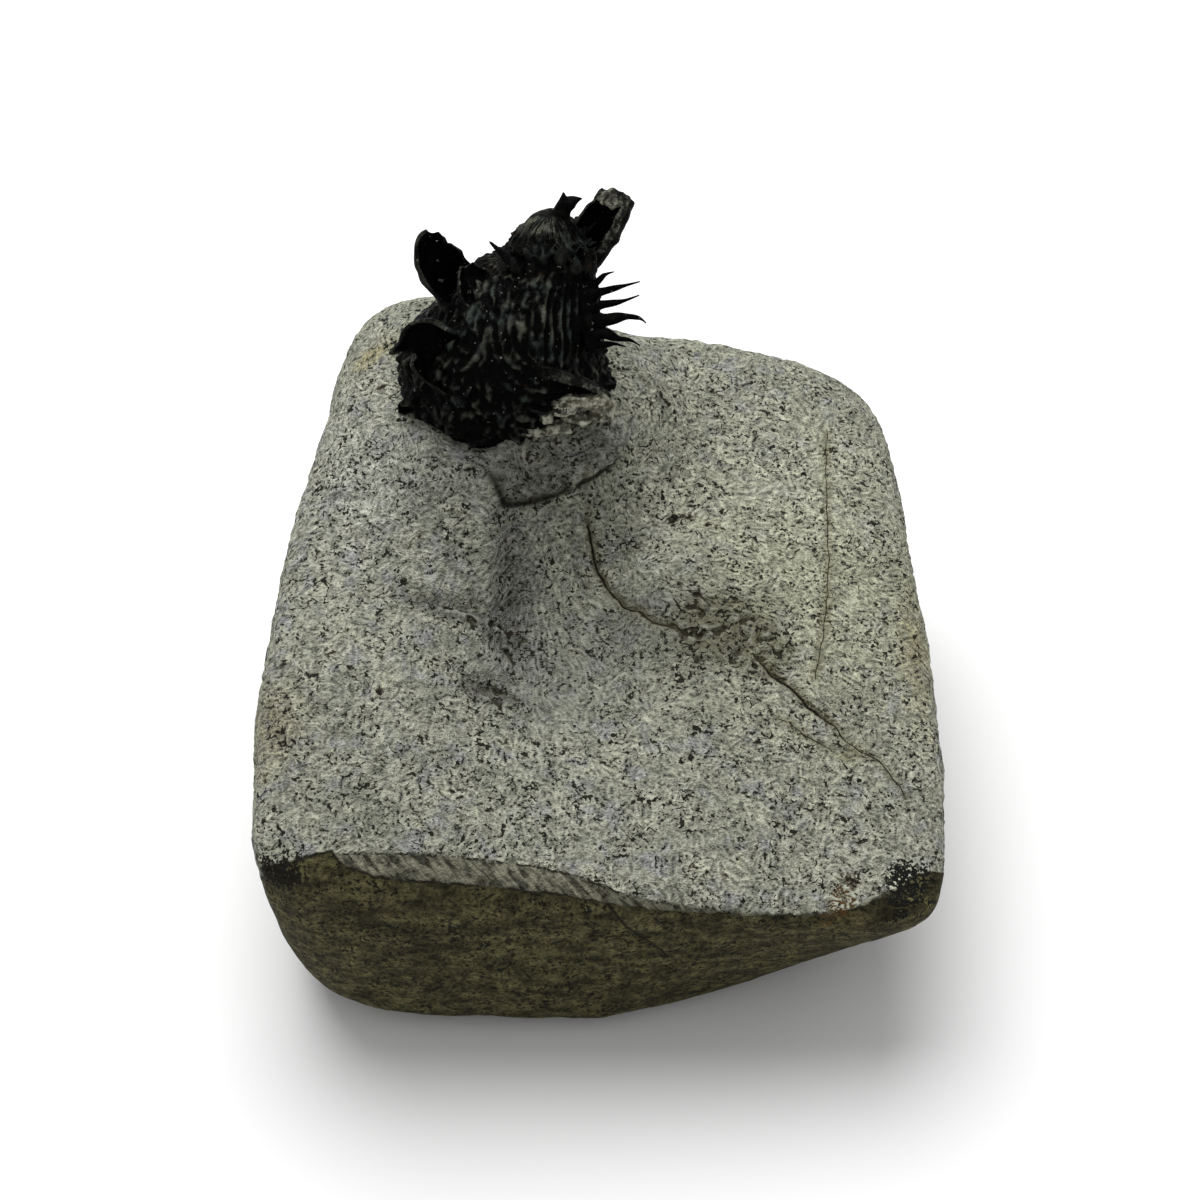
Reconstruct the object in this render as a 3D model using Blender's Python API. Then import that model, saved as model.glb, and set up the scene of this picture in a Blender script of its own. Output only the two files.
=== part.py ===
"""A spiny fossil shell standing on the block of limestone that it was carved free of.

Two solids: limestone_matrix, the block with its carved hill, ledge and valley, and fossil_shell,
the black cap-shaped shell with its fluted growth edges, broken hollow horns and thin spines.

The origin is the centre of the object's footprint, on the surface that the block rests on.
+Z is up, -Y is the front and +X is the front's right-hand side. Lengths are in metres.
"""

import math

import bmesh
import bpy
from mathutils import Euler, Vector

MM = 0.001

# Driving sizes of the block. Heights are above the resting face.
BLOCK_FRONT = -49.4 * MM
BLOCK_BACK = 49.6 * MM
BLOCK_TOP = 43.15 * MM  # height of the carved top at the middle, before its rises and hollows
TOP_RISE_TO_BACK = 0.20
TOP_FALL_TO_RIGHT = 0.11
BASE_SINK = 3.0 * MM  # the rounded underside reaches this far below the flat that is cut on it
BASE_CENTRE = Vector((-4.4 * MM, 3.6 * MM, 0))
FRONT_SQUARENESS = 13.0  # exponents of the rounded corners: higher is squarer
BACK_SQUARENESS = 8.0
BASE_SQUARENESS = 4.2
UNDERSIDE_TAPER = 0.06
FRONT_RIGHT_TAPER = 0.30
TOP_DIVISIONS = 32
SIDE_LEVELS = (0.8, 0.45, 0.05, -0.4, -0.8, -1.0)  # from the top edge, 1, to the underside, -1

# Left and right edges of the block's plan from front to back: (y, left, right).
FOOTPRINT = (
    (-49.4 * MM, -46.9 * MM, 47.1 * MM),
    (-22.4 * MM, -47.8 * MM, 48.2 * MM),
    (-2.4 * MM, -46.6 * MM, 47.4 * MM),
    (13.6 * MM, -45 * MM, 46 * MM),
    (27.6 * MM, -41.4 * MM, 45.2 * MM),
    (49.6 * MM, -39.9 * MM, 43.6 * MM),
)

# Rises and hollows carved in the top: (x, y, spread in x, spread in y, height).
TOP_FORMS = (
    (-3.4 * MM, 2.6 * MM, 6.5 * MM, 8 * MM, -4 * MM),  # valley below the ledge
    (-6.4 * MM, -10.4 * MM, 11 * MM, 17 * MM, -4.5 * MM),  # the valley where it opens to the front
    (-31.4 * MM, -12.4 * MM, 13 * MM, 15 * MM, 2.5 * MM),  # swell on the valley's left
    (22.6 * MM, -9.4 * MM, 14 * MM, 15 * MM, 2.5 * MM),  # swell on the valley's right
    (-31.4 * MM, 45.6 * MM, 13 * MM, 13 * MM, 5.5 * MM),  # shoulder at the back left
    (9.6 * MM, 47.6 * MM, 15 * MM, 14 * MM, 2 * MM),  # crest along the back
    (41.6 * MM, 47.6 * MM, 12 * MM, 14 * MM, -2.5 * MM),  # low corner at the back right
)

# The hill that carries the shell: a flat top this wide and deep, with slopes beyond it.
HILL_CENTRE = Vector((-12.9 * MM, 23.6 * MM))
HILL_HALF_SIZE = Vector((16 * MM, 13.5 * MM))
HILL_RISE = 9.5 * MM
HILL_SLOPE = 1.1  # width of the slopes, as a share of the half size

# The shell's mouth is set in the hill. Offsets below are from this point, in millimetres.
SEAT = Vector((-14.4 * MM, 23.6 * MM, 58.5 * MM))
SEAT_CLEARANCE = 0.4 * MM
LEDGE_OFFSET = (5.6, -8.2, -3.6)
LEDGE_HALF_SIZE = (12.2, 6.8, 6.2)
LEDGE_TURN = Euler((0, math.radians(-10), math.radians(10)))

# The shell from its buried mouth up to its rounded dome:
# (x, y, z, half-width, half-depth, roll), the roll in degrees lowering the right-hand side.
SHELL_STATIONS = (
    (0.5, -0.5, -3.5, 12.5, 10.0, 0),
    (-0.1, 0.0, 0.0, 14.8, 11.4, 0),
    (0.3, 0.4, 3.6, 14.9, 11.4, 8),
    (1.6, 0.9, 6.8, 14.2, 11.0, 18),
    (3.0, 1.8, 10.4, 12.8, 10.4, 25),
    (4.0, 2.8, 13.8, 11.6, 9.6, 25),
    (4.8, 4.0, 16.6, 9.8, 8.4, 18),
    (5.7, 5.2, 18.8, 7.9, 7.1, 8),
    (6.6, 6.2, 20.8, 6.2, 6.0, 0),
    (6.9, 6.6, 22.9, 5.5, 5.3, 0),
    (7.0, 6.8, 24.8, 4.2, 4.1, 0),
    (7.1, 6.9, 26.0, 2.4, 2.3, 0),
    (7.1, 6.9, 26.5, 0.8, 0.8, 0),
)
# The oldest whorl, curling back and down from inside the dome: (x, y, z, radius).
COIL_STATIONS = (
    (6.8, 6.0, 21.0, 4.6),
    (6.8, 9.4, 18.6, 5.0),
    (6.7, 12.2, 15.6, 4.3),
    (6.5, 13.6, 12.4, 3.4),
    (6.3, 13.4, 9.4, 2.5),
    (6.2, 12.0, 7.2, 1.4),
)
COIL_SIDES = 16
GROWTH_EDGES = (2.4, 4.0, 5.8, 7.2)  # stations where an old lip of the shell stands proud
LIP_FLARE = 1.2 * MM
FLUTES = 32
FLUTE_DEPTH = 0.22 * MM
RING_STEP = 0.62

# Hollow horns, broken open along one side: the stations (x, y, z, width, hollow depth)
# from root to tip, and the direction that the open side faces.
HORNS = {
    "left": (
        (
            (-3.0, 0.8, 14.0, 6.6, 2.4),
            (-6.0, 1.5, 18.3, 7.2, 2.8),
            (-8.2, 2.2, 21.6, 6.8, 2.6),
            (-9.2, 3.0, 24.0, 5.4, 2.0),
            (-8.8, 3.9, 26.2, 2.4, 0.9),
        ),
        (0.1, -0.7, 0.7),
    ),
    "right": (
        (
            (9.4, 5.4, 18.2, 6.4, 2.6),
            (12.2, 6.5, 21.7, 6.8, 2.8),
            (14.0, 7.6, 24.2, 6.4, 2.7),
            (15.6, 8.8, 26.4, 5.6, 2.4),
            (16.6, 10.0, 28.3, 4.4, 1.8),
        ),
        (-0.25, -0.7, 0.66),
    ),
    "lower_left": (
        (
            (-2.5, -5.0, 8.5, 7.6, 2.4),
            (-6.2, -7.0, 11.6, 8.6, 3.0),
            (-10.2, -7.6, 14.8, 7.8, 2.6),
            (-12.9, -7.4, 15.0, 4.6, 1.8),
            (-14.8, -7.2, 14.0, 1.4, 0.7),
        ),
        (0.15, -0.8, 0.55),
    ),
    "lower_right": (
        (
            (2.6, -8.0, 8.4, 6.6, 2.6),
            (6.1, -9.6, 8.8, 6.6, 2.8),
            (9.5, -9.4, 8.0, 5.6, 2.4),
            (13.0, -8.4, 6.2, 4.2, 1.8),
            (15.5, -7.4, 4.8, 2.0, 0.9),
        ),
        (0.1, -0.9, 0.2),
    ),
}
HORN_WALL = 0.9 * MM
HORN_ARC_STEPS = 6

# Solid spines: root and tip offsets, and the radius at the root, in millimetres.
SPINES = (
    ((11.5, 1.2, 18.4), (15.7, 0.0, 22.1), 1.1),
    ((11.8, 0.2, 17.6), (19.4, -1.0, 20.8), 1.3),
    ((12.2, -0.8, 16.2), (19.4, -2.0, 19.1), 1.2),
    ((12.6, -1.8, 15.0), (20.1, -3.0, 15.7), 1.2),
    ((12.6, -2.8, 13.4), (19.3, -4.0, 12.8), 1.1),
    ((12.8, -3.6, 12.3), (17.8, -4.5, 12.5), 0.9),
    ((3.0, 1.0, 20.6), (-0.6, 2.0, 24.8), 1.1),
    ((8.4, 7.0, 24.6), (9.0, 8.0, 29.7), 1.6),
    ((8.9, 7.6, 27.6), (11.2, 7.6, 29.0), 0.8),
    ((-6.0, 9.5, 9.0), (-8.6, 14.0, 11.5), 1.5),
    ((3.0, 11.0, 9.0), (3.4, 16.0, 9.4), 1.5),
    ((10.0, 9.0, 9.5), (13.2, 13.0, 11.0), 1.4),
)
SPINE_SIDES = 7


def clear_scene():
    for old in list(bpy.data.objects):
        bpy.data.objects.remove(old)


def stone_material(name, colour, roughness):
    material = bpy.data.materials.new(name)
    material.use_nodes = True
    surface = material.node_tree.nodes["Principled BSDF"]
    surface.inputs["Base Color"].default_value = (*colour, 1)
    surface.inputs["Roughness"].default_value = roughness
    surface.inputs["Metallic"].default_value = 0
    return material


def collection(name, hidden=False):
    made = bpy.data.collections.new(name)
    made.hide_render = hidden
    bpy.context.scene.collection.children.link(made)
    return made


def add_object(name, bm, home, material=None):
    mesh = bpy.data.meshes.new(name)
    bmesh.ops.recalc_face_normals(bm, faces=bm.faces)
    bmesh.ops.triangulate(bm, faces=bm.faces)
    bm.to_mesh(mesh)
    bm.free()
    made = bpy.data.objects.new(name, mesh)
    home.objects.link(made)
    if material:
        mesh.materials.append(material)
    return made


def apply_boolean(target, operation, tools):
    """Join the tools to the target, or cut them from it, then remove them."""
    for tool in tools:
        tool.display_type = "WIRE"
        step = target.modifiers.new(tool.name, "BOOLEAN")
        step.operation = operation
        step.solver = "EXACT"
        step.object = tool
    evaluated = target.evaluated_get(bpy.context.evaluated_depsgraph_get())
    result = bpy.data.meshes.new_from_object(evaluated)
    target.modifiers.clear()
    target.data = result
    for tool in tools:
        bpy.data.objects.remove(tool)


def smooth_through(stations, at):
    """The values at a station number, on a Catmull-Rom curve through all the stations."""
    last = len(stations) - 1
    start = max(0, min(int(at), last - 1))
    t = at - start
    around = (stations[max(0, min(last, start + step))] for step in (-1, 0, 1, 2))
    return [
        0.5 * (2 * q + (r - p) * t + (2 * p - 5 * q + 4 * r - s) * t**2)
        + 0.5 * (3 * q - p - 3 * r + s) * t**3
        for p, q, r, s in zip(*around)
    ]


def tube(rings):
    """An open-ended skin over rings of points, with its rows of corners."""
    bm = bmesh.new()
    rows = [[bm.verts.new(point) for point in ring] for ring in rings]
    for lower, upper in zip(rows, rows[1:]):
        for i in range(len(lower)):
            bm.faces.new((lower[i - 1], lower[i], upper[i], upper[i - 1]))
    return bm, rows


def loft(rings):
    """A closed skin over rings of points, each end drawn in to a centre point."""
    bm, rows = tube(rings)
    for row in (rows[0], rows[-1]):
        centre = bm.verts.new(sum((v.co for v in row), Vector()) / len(row))
        for i in range(len(row)):
            bm.faces.new((row[i - 1], row[i], centre))
    return bm


# ---- limestone block ----


def footprint(y):
    """Left and right edges of the block's plan at a depth y."""
    for front, back in zip(FOOTPRINT, FOOTPRINT[1:]):
        if y <= back[0]:
            break
    t = (y - front[0]) / (back[0] - front[0])
    return (front[1] + (back[1] - front[1]) * t, front[2] + (back[2] - front[2]) * t)


def top_height(x, y):
    height = BLOCK_TOP + TOP_RISE_TO_BACK * y - TOP_FALL_TO_RIGHT * x
    for cx, cy, spread_x, spread_y, rise in TOP_FORMS:
        height += rise * math.exp(-(((x - cx) / spread_x) ** 2) - ((y - cy) / spread_y) ** 2)
    away = math.hypot(
        (x - HILL_CENTRE.x) / HILL_HALF_SIZE.x, (y - HILL_CENTRE.y) / HILL_HALF_SIZE.y
    )
    down = max(0.0, min(1.0, (away - 1) / HILL_SLOPE))
    return height + HILL_RISE * (1 - down * down * (3 - 2 * down))


def block_point(corner):
    """A point of the cube from -1 to 1, moved onto the block's rounded and tapered skin."""
    backness = (corner.y + 1) / 2
    upness = (corner.z + 1) / 2
    upper = FRONT_SQUARENESS + (BACK_SQUARENESS - FRONT_SQUARENESS) * backness
    power = BASE_SQUARENESS + (upper - BASE_SQUARENESS) * upness
    unit = corner / sum(abs(c) ** power for c in corner) ** (1 / power)
    y = BLOCK_FRONT + (BLOCK_BACK - BLOCK_FRONT) * (unit.y + 1) / 2
    left, right = footprint(y)
    x = (left + right) / 2 + unit.x * (right - left) / 2
    share = (unit.z + 1) / 2
    height = -BASE_SINK + share * (top_height(x, y) + BASE_SINK)
    front_right = max(0, unit.x) * max(0, -unit.y)
    taper = (UNDERSIDE_TAPER + FRONT_RIGHT_TAPER * front_right) * (1 - share) ** 1.3
    point = Vector((x, y, 0)).lerp(BASE_CENTRE, taper)
    point.z = max(height, 0)
    return point


def block_skin():
    """A cube's skin with a fine grid on top, fewer rows down the sides and a plain underside."""
    bm = bmesh.new()
    n = TOP_DIVISIONS
    steps = [2 * i / n - 1 for i in range(n + 1)]
    top = [[bm.verts.new((x, y, 1)) for y in steps] for x in steps]
    for i in range(n):
        for j in range(n):
            bm.faces.new((top[i][j], top[i + 1][j], top[i + 1][j + 1], top[i][j + 1]))
    rim = [top[i][0] for i in range(n)] + [top[n][j] for j in range(n)]
    rim += [top[n - i][n] for i in range(n)] + [top[0][n - j] for j in range(n)]
    for level in SIDE_LEVELS:
        below = [bm.verts.new((v.co.x, v.co.y, level)) for v in rim]
        for i in range(len(rim)):
            bm.faces.new((rim[i - 1], rim[i], below[i], below[i - 1]))
        rim = below
    middle = bm.verts.new((0, 0, -1))
    for i in range(len(rim)):
        bm.faces.new((rim[i - 1], rim[i], middle))
    for vert in bm.verts:
        vert.co = block_point(vert.co)
    return bm


def ledge_skin():
    bm = bmesh.new()
    bmesh.ops.create_icosphere(bm, subdivisions=3, radius=1)
    for vert in bm.verts:
        point = vert.co
        point = point / sum(abs(c) ** 2.6 for c in point) ** (1 / 2.6)
        point = Vector(p * half for p, half in zip(point, LEDGE_HALF_SIZE))
        point.rotate(LEDGE_TURN)
        vert.co = SEAT + (Vector(LEDGE_OFFSET) + point) * MM
    return bm


# ---- shell ----


def growth_flare(at):
    """How far the shell flares: 1 just above a growth edge, fading to 0 at the next one up."""
    for low, high in zip(GROWTH_EDGES, GROWTH_EDGES[1:] + (10.0,)):
        if low <= at < high:
            return ((high - at) / (high - low)) ** 2
    return 0.0


def shell_ring(at, flare, swell=0.0, flute_depth=FLUTE_DEPTH):
    """One ring of the shell at a station number; swell grows it evenly all round."""
    x, y, z, half_width, half_depth, roll = smooth_through(SHELL_STATIONS, at)
    last = len(SHELL_STATIONS) - 1
    ahead = smooth_through(SHELL_STATIONS, min(at + 0.1, last))
    behind = smooth_through(SHELL_STATIONS, max(at - 0.1, 0))
    lean = (ahead[1] - behind[1]) / (ahead[2] - behind[2])
    side = Vector((math.cos(math.radians(roll)), 0, -math.sin(math.radians(roll))))
    deep = Vector((0, 1, -0.5 * lean * min(1, at / 5))).normalized()
    centre = SEAT + Vector((x, y, z)) * MM
    girth = min(1, half_width / 11)
    ring = []
    for i in range(2 * FLUTES):
        angle = math.pi * i / FLUTES
        flute = flute_depth if i % 2 else -flute_depth
        out = swell + girth * (flare * LIP_FLARE + flute * (1 + flare))
        point = centre + side * math.cos(angle) * (half_width * MM + out)
        ring.append(point + deep * math.sin(angle) * (half_depth * MM + out))
    return ring


def shell_skin():
    last = len(SHELL_STATIONS) - 1
    rings = []
    at = 0.0
    for edge in GROWTH_EDGES + (last,):
        steps = max(1, round((edge - at) / RING_STEP))
        for i in range(steps):
            here = at + (edge - at) * i / steps
            rings.append(shell_ring(here, growth_flare(here)))
        if edge < last:
            rings.append(shell_ring(edge - 0.02, 0.0))
        at = edge
    rings.append(shell_ring(last, 0.0))
    return loft(rings)


def seat_skin():
    """The recess that the shell stands in: its foot grown by the clearance, without its flutes."""
    snug = SEAT_CLEARANCE + FLUTE_DEPTH
    clear_of_lip = snug + LIP_FLARE + FLUTE_DEPTH
    floor = [point - Vector((0, 0, SEAT_CLEARANCE)) for point in shell_ring(0, 0, snug, 0)]
    rings = [floor] + [shell_ring(at, 0, snug, 0) for at in (0.5, 1.0, 1.5, 2.0)]
    rings += [shell_ring(at, 0, clear_of_lip, 0) for at in (2.3, 3.0, 3.6, 4.2)]
    return loft(rings)


def coil_skin():
    rings = []
    for i, (x, y, z, radius) in enumerate(COIL_STATIONS):
        after = Vector(COIL_STATIONS[min(i + 1, len(COIL_STATIONS) - 1)][:3])
        before = Vector(COIL_STATIONS[max(i - 1, 0)][:3])
        out = (after - before).normalized().cross(Vector((1, 0, 0)))
        ring = []
        for k in range(COIL_SIDES):
            angle = 2 * math.pi * k / COIL_SIDES
            across = Vector((math.cos(angle), 0, 0)) + out * math.sin(angle)
            ring.append(SEAT + (Vector((x, y, z)) + across * radius) * MM)
        rings.append(ring)
    return loft(rings)


def horn_skin(stations, facing, swell=0.0):
    """A gutter-shaped horn: a thick arc of shell swept from its root to its tip."""
    facing = Vector(facing)
    rings = []
    for i, (x, y, z, width, depth) in enumerate(stations):
        after = Vector(stations[min(i + 1, len(stations) - 1)][:3])
        before = Vector(stations[max(i - 1, 0)][:3])
        along = (after - before).normalized()
        side = along.cross(facing).normalized()
        out = side.cross(along)
        centre = SEAT + Vector((x, y, z)) * MM
        half = width / 2 * MM
        hollow = depth * MM
        wall = min(HORN_WALL, 0.35 * half)
        ring = []
        for shrink, order in ((-swell, 1), (wall + swell, -1)):
            for k in range(HORN_ARC_STEPS + 1)[::order]:
                angle = math.pi * k / HORN_ARC_STEPS
                reach = out * math.sin(angle) * (hollow - shrink)
                ring.append(centre + side * math.cos(angle) * (half - shrink) - reach)
        rings.append(ring)
    bm, rows = tube(rings)
    for row in (rows[0], rows[-1]):
        for k in range(HORN_ARC_STEPS):
            bm.faces.new((row[k], row[k + 1], row[-2 - k], row[-1 - k]))
    return bm


def spine_skin(root, tip, radius):
    """A straight tapering spine with a slightly flared root."""
    root, tip = Vector(root), Vector(tip)
    turn = (tip - root).to_track_quat("Z", "Y")
    length = (tip - root).length
    rings = []
    for along, girth in ((0, 1), (0.45, 0.5), (1, 0.12)):
        ring = []
        for i in range(SPINE_SIDES):
            angle = 2 * math.pi * i / SPINE_SIDES
            offset = Vector((math.cos(angle), math.sin(angle), 0)) * radius * girth
            offset.z = along * length
            ring.append(SEAT + (root + turn @ offset) * MM)
        rings.append(ring)
    return loft(rings)


def main():
    clear_scene()
    fossil = collection("fossil_on_matrix")
    cutters = collection("cutters", hidden=True)
    stone = stone_material("limestone", (0.33, 0.33, 0.27), 0.85)
    black = stone_material("black_shell", (0.02, 0.02, 0.018), 0.4)

    shell = add_object("fossil_shell", shell_skin(), fossil, black)
    growths = [add_object("coil", coil_skin(), cutters)]
    growths += [add_object(f"horn_{name}", horn_skin(*h), cutters) for name, h in HORNS.items()]
    growths += [add_object(f"spine_{i}", spine_skin(*s), cutters) for i, s in enumerate(SPINES)]
    apply_boolean(shell, "UNION", growths)

    block = add_object("limestone_matrix", block_skin(), fossil, stone)
    apply_boolean(block, "UNION", [add_object("ledge", ledge_skin(), cutters)])
    seat = [add_object("seat", seat_skin(), cutters)]
    seat.append(add_object("horn_seat", horn_skin(*HORNS["lower_right"], SEAT_CLEARANCE), cutters))
    apply_boolean(block, "DIFFERENCE", seat)


main()
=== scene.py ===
"""A spiny fossil shell on its carved limestone block: the finished surfaces over the CAD solids."""

import math

import bmesh
import bpy
import numpy as np
from mathutils import Euler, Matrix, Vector
from mathutils.kdtree import KDTree


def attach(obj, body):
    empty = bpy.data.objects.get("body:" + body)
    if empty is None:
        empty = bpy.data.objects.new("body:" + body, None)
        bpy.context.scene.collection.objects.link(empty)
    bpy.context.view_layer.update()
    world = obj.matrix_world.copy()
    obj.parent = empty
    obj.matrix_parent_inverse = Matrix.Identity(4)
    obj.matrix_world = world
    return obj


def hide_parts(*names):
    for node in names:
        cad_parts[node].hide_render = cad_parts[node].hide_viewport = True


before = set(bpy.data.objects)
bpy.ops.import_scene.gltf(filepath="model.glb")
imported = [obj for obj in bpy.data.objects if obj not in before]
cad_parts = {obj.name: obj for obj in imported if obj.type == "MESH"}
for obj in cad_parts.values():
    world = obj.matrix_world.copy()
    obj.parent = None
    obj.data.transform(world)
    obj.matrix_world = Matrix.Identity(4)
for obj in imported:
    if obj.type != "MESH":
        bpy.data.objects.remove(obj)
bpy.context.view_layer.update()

# ---- Limestone block ----
# A block of fine grey-beige limestone, split from its bed and cut down around the shell with a
# chisel and an air scribe. The carved top is pale and full of tiny chips and strokes; the front
# and the underside keep the smooth, dark, weathered skin of the bed.

MM = 0.001
BLOCK_FRONT, BLOCK_BACK = -49.4, 49.6
UNDERSIDE_DIP = 3.0  # how much of the rounded underside the flat that it rests on cuts away
TOP_HEIGHT, RISE_TO_BACK, FALL_TO_RIGHT = 43.15, 0.20, 0.11
HILL_MIDDLE, HILL_REACH = (-12.9, 23.6), (16.0, 13.5)
HILL_HEIGHT, HILL_FLANK = 9.5, 1.1
FOOTPRINT = np.array(  # depth, left edge, right edge
    [
        (-49.4, -46.9, 47.1),
        (-22.4, -47.8, 48.2),
        (-2.4, -46.6, 47.4),
        (13.6, -45.0, 46.0),
        (27.6, -41.4, 45.2),
        (49.6, -39.9, 43.6),
    ]
)
TOP_FORMS = (  # x, y, spread in x, spread in y, rise
    (-3.4, 2.6, 6.5, 8.0, -3.0),  # valley below the ledge
    (-6.4, -10.4, 11.0, 17.0, -4.5),  # the valley where it opens to the front
    (-12.8, 1.0, 1.9, 9.0, -2.7),  # trough down the valley's left
    (-16.4, 2.0, 2.2, 8.0, 1.0),  # bank beside it
    (-5.6, 3.5, 2.6, 7.0, 1.8),  # rib that stands beside the trough
    (2.0, -1.5, 1.8, 6.5, -1.3),  # groove along the crack
    (9.0, 0.0, 5.0, 7.0, 1.2),  # swell past the groove
    (4.5, 12.5, 4.5, 5.5, -2.5),  # cut away past the ledge's end
    (-4.5, 7.0, 7.5, 3.2, -3.2),  # and under its lip
    (12.0, -14.0, 4.5, 3.5, -1.4),  # shallow dish in the right slope
    (-20.5, -4.6, 7.5, 1.1, -1.8),  # crease across the left swell
    (-15.5, -16.5, 4.5, 1.3, -1.6),  # lower crease
    (-31.0, 12.5, 4.0, 4.5, -1.6),  # scoop left of the hill
    (-25.2, 11.5, 1.8, 5.0, 1.6),  # ridge beside the scoop
    (-31.4, -12.4, 13.0, 15.0, 2.5),  # swell on the valley's left
    (22.6, -9.4, 14.0, 15.0, 2.5),  # swell on the valley's right
    (-31.4, 45.6, 13.0, 13.0, 5.5),  # shoulder at the back left
    (9.6, 47.6, 15.0, 14.0, 2.0),  # crest along the back
    (41.6, 47.6, 12.0, 14.0, -2.5),  # low back-right corner
)
SEAT = Vector((-14.4, 23.6, 58.5))  # middle of the shell's foot
EDGE = np.array(  # along the front: x, y + z of the skin's upper edge, height of the band above it
    [
        (-47.0, -13.5, 0.3),
        (-45.5, -12.2, 0.3),
        (-43.2, -9.4, 0.3),
        (-38.6, -7.4, 0.3),
        (-35.6, -6.6, 0.4),
        (-34.4, -8.2, 1.2),
        (-30.2, -10.8, 4.0),
        (-26.3, -12.0, 5.1),
        (-17.3, -12.8, 4.7),
        (-10.7, -13.9, 4.8),
        (-4.7, -15.2, 4.3),
        (0.6, -16.6, 2.9),
        (6.0, -17.9, 1.9),
        (12.6, -18.5, 1.1),
        (25.6, -19.5, 0.8),
        (31.8, -18.8, 0.8),
        (36.0, -16.6, 0.8),
        (38.6, -15.1, 0.8),
        (44.4, -9.6, 0.8),
    ]
)
SKIN_HEIGHT = 19  # of the dark skin round the block's sides and back
ROCK_GRID = 90
ROCK_VOXEL = 0.42
ROCK_TRIANGLES = 190000


def carved_top(x, y):
    """Height of the block's top, with its hill, above the face that it rests on."""
    height = TOP_HEIGHT + RISE_TO_BACK * y - FALL_TO_RIGHT * x
    for cx, cy, spread_x, spread_y, rise in TOP_FORMS:
        height = height + rise * np.exp(-(((x - cx) / spread_x) ** 2) - ((y - cy) / spread_y) ** 2)
    east, north = (x - HILL_MIDDLE[0]) / HILL_REACH[0], (y - HILL_MIDDLE[1]) / HILL_REACH[1]
    apart = np.hypot(east, north)
    cut_back = np.maximum(0, 0.8 * east - 0.6 * north) / np.maximum(apart, 0.01)  # front right
    down = np.clip((apart / (1 - 0.24 * cut_back**2) - 1) / HILL_FLANK, 0, 1)
    return height + HILL_HEIGHT * (1 - down * down * (3 - 2 * down))


def on_block(cube):
    """Points of the cube from -1 to 1, moved onto the block's rounded skin, in millimetres."""
    backness, upness = (cube[:, 1] + 1) / 2, (cube[:, 2] + 1) / 2
    power = (4.2 + (8.8 - 5.0 * backness) * upness)[:, None]
    x, y, z = (cube / (np.abs(cube) ** power).sum(1)[:, None] ** (1 / power)).T
    depth = BLOCK_FRONT + (BLOCK_BACK - BLOCK_FRONT) * (y + 1) / 2
    left, right = (np.interp(depth, FOOTPRINT[:, 0], FOOTPRINT[:, k]) for k in (1, 2))
    across = (left + right) / 2 + x * (right - left) / 2
    share = (z + 1) / 2
    height = share * (carved_top(across, depth) + UNDERSIDE_DIP) - UNDERSIDE_DIP
    front_right = np.maximum(0, x) * np.maximum(0, -y)
    taper = (0.06 + 0.30 * front_right) * (1 - share) ** 1.3
    return np.stack(
        (across + (-4.4 - across) * taper, depth + (3.6 - depth) * taper, np.maximum(height, 0)), 1
    )


def coordinates(mesh):
    points = np.empty(len(mesh.vertices) * 3, np.float32)
    mesh.vertices.foreach_get("co", points)
    return points.reshape(-1, 3).astype(float)


def place(mesh, points):
    mesh.vertices.foreach_set("co", points.astype(np.float32).ravel())
    mesh.update()


def store(mesh, name, values):
    """Keep one number for each corner of the mesh, which its nodes read by name."""
    layer = mesh.attributes.get(name) or mesh.attributes.new(name, "FLOAT", "POINT")
    layer.data.foreach_set("value", values.astype(np.float32))


def set_out(name, content):
    """The mesh, light or camera as an object of the scene."""
    thing = bpy.data.objects.new(name, content)
    bpy.context.scene.collection.objects.link(thing)
    return thing


def finished(thing):
    """The thing's evaluated mesh takes the place of its mesh and modifiers."""
    evaluated = thing.evaluated_get(bpy.context.evaluated_depsgraph_get())
    made = bpy.data.meshes.new_from_object(evaluated)
    thing.modifiers.clear()
    thing.data = made
    return made


def one_skin(thing, voxel):
    """All the solids in the thing's mesh joined under one closed skin of even faces."""
    joined = thing.modifiers.new("one_skin", "REMESH")
    joined.mode = "VOXEL"
    joined.voxel_size = voxel
    return finished(thing)


def fewer_faces(thing, triangles):
    """A modifier that thins the thing's mesh to this many triangles."""
    fewer = thing.modifiers.new("fewer_faces", "DECIMATE")
    fewer.ratio = triangles / sum(len(face.vertices) - 2 for face in thing.data.polygons)
    return fewer


def neighbour_mean(mesh, values):
    """The mean of the values at each corner's neighbours along the mesh's edges."""
    ends = np.empty(len(mesh.edges) * 2, np.int32)
    mesh.edges.foreach_get("vertices", ends)
    a, b = ends.reshape(-1, 2).T
    count = np.bincount(a, minlength=len(values)) + np.bincount(b, minlength=len(values))
    total = np.stack(
        [
            np.bincount(a, column[b], len(values)) + np.bincount(b, column[a], len(values))
            for column in values.T
        ],
        1,
    )
    return total / count[:, None]


def outward(mesh):
    """The direction that the skin faces at each corner."""
    normals = np.empty(len(mesh.vertices) * 3, np.float32)
    mesh.vertices.foreach_get("normal", normals)
    return normals.reshape(-1, 3)


def crests(mesh, points, rounds):
    """How far each corner stands out on a crest, or, below 0, lies in a groove."""
    level = points
    for again in range(rounds):
        level = neighbour_mean(mesh, level)
    return ((points - level) * outward(mesh)).sum(1)


def modifier_with(thing, tree, values):
    """The tree as a modifier on the thing, with its named inputs set."""
    made = thing.modifiers.new(tree.name, "NODES")
    made.node_group = tree
    for socket in tree.interface.items_tree:
        if socket.in_out == "INPUT" and socket.name in values:
            made[socket.identifier] = values[socket.name]


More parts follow.
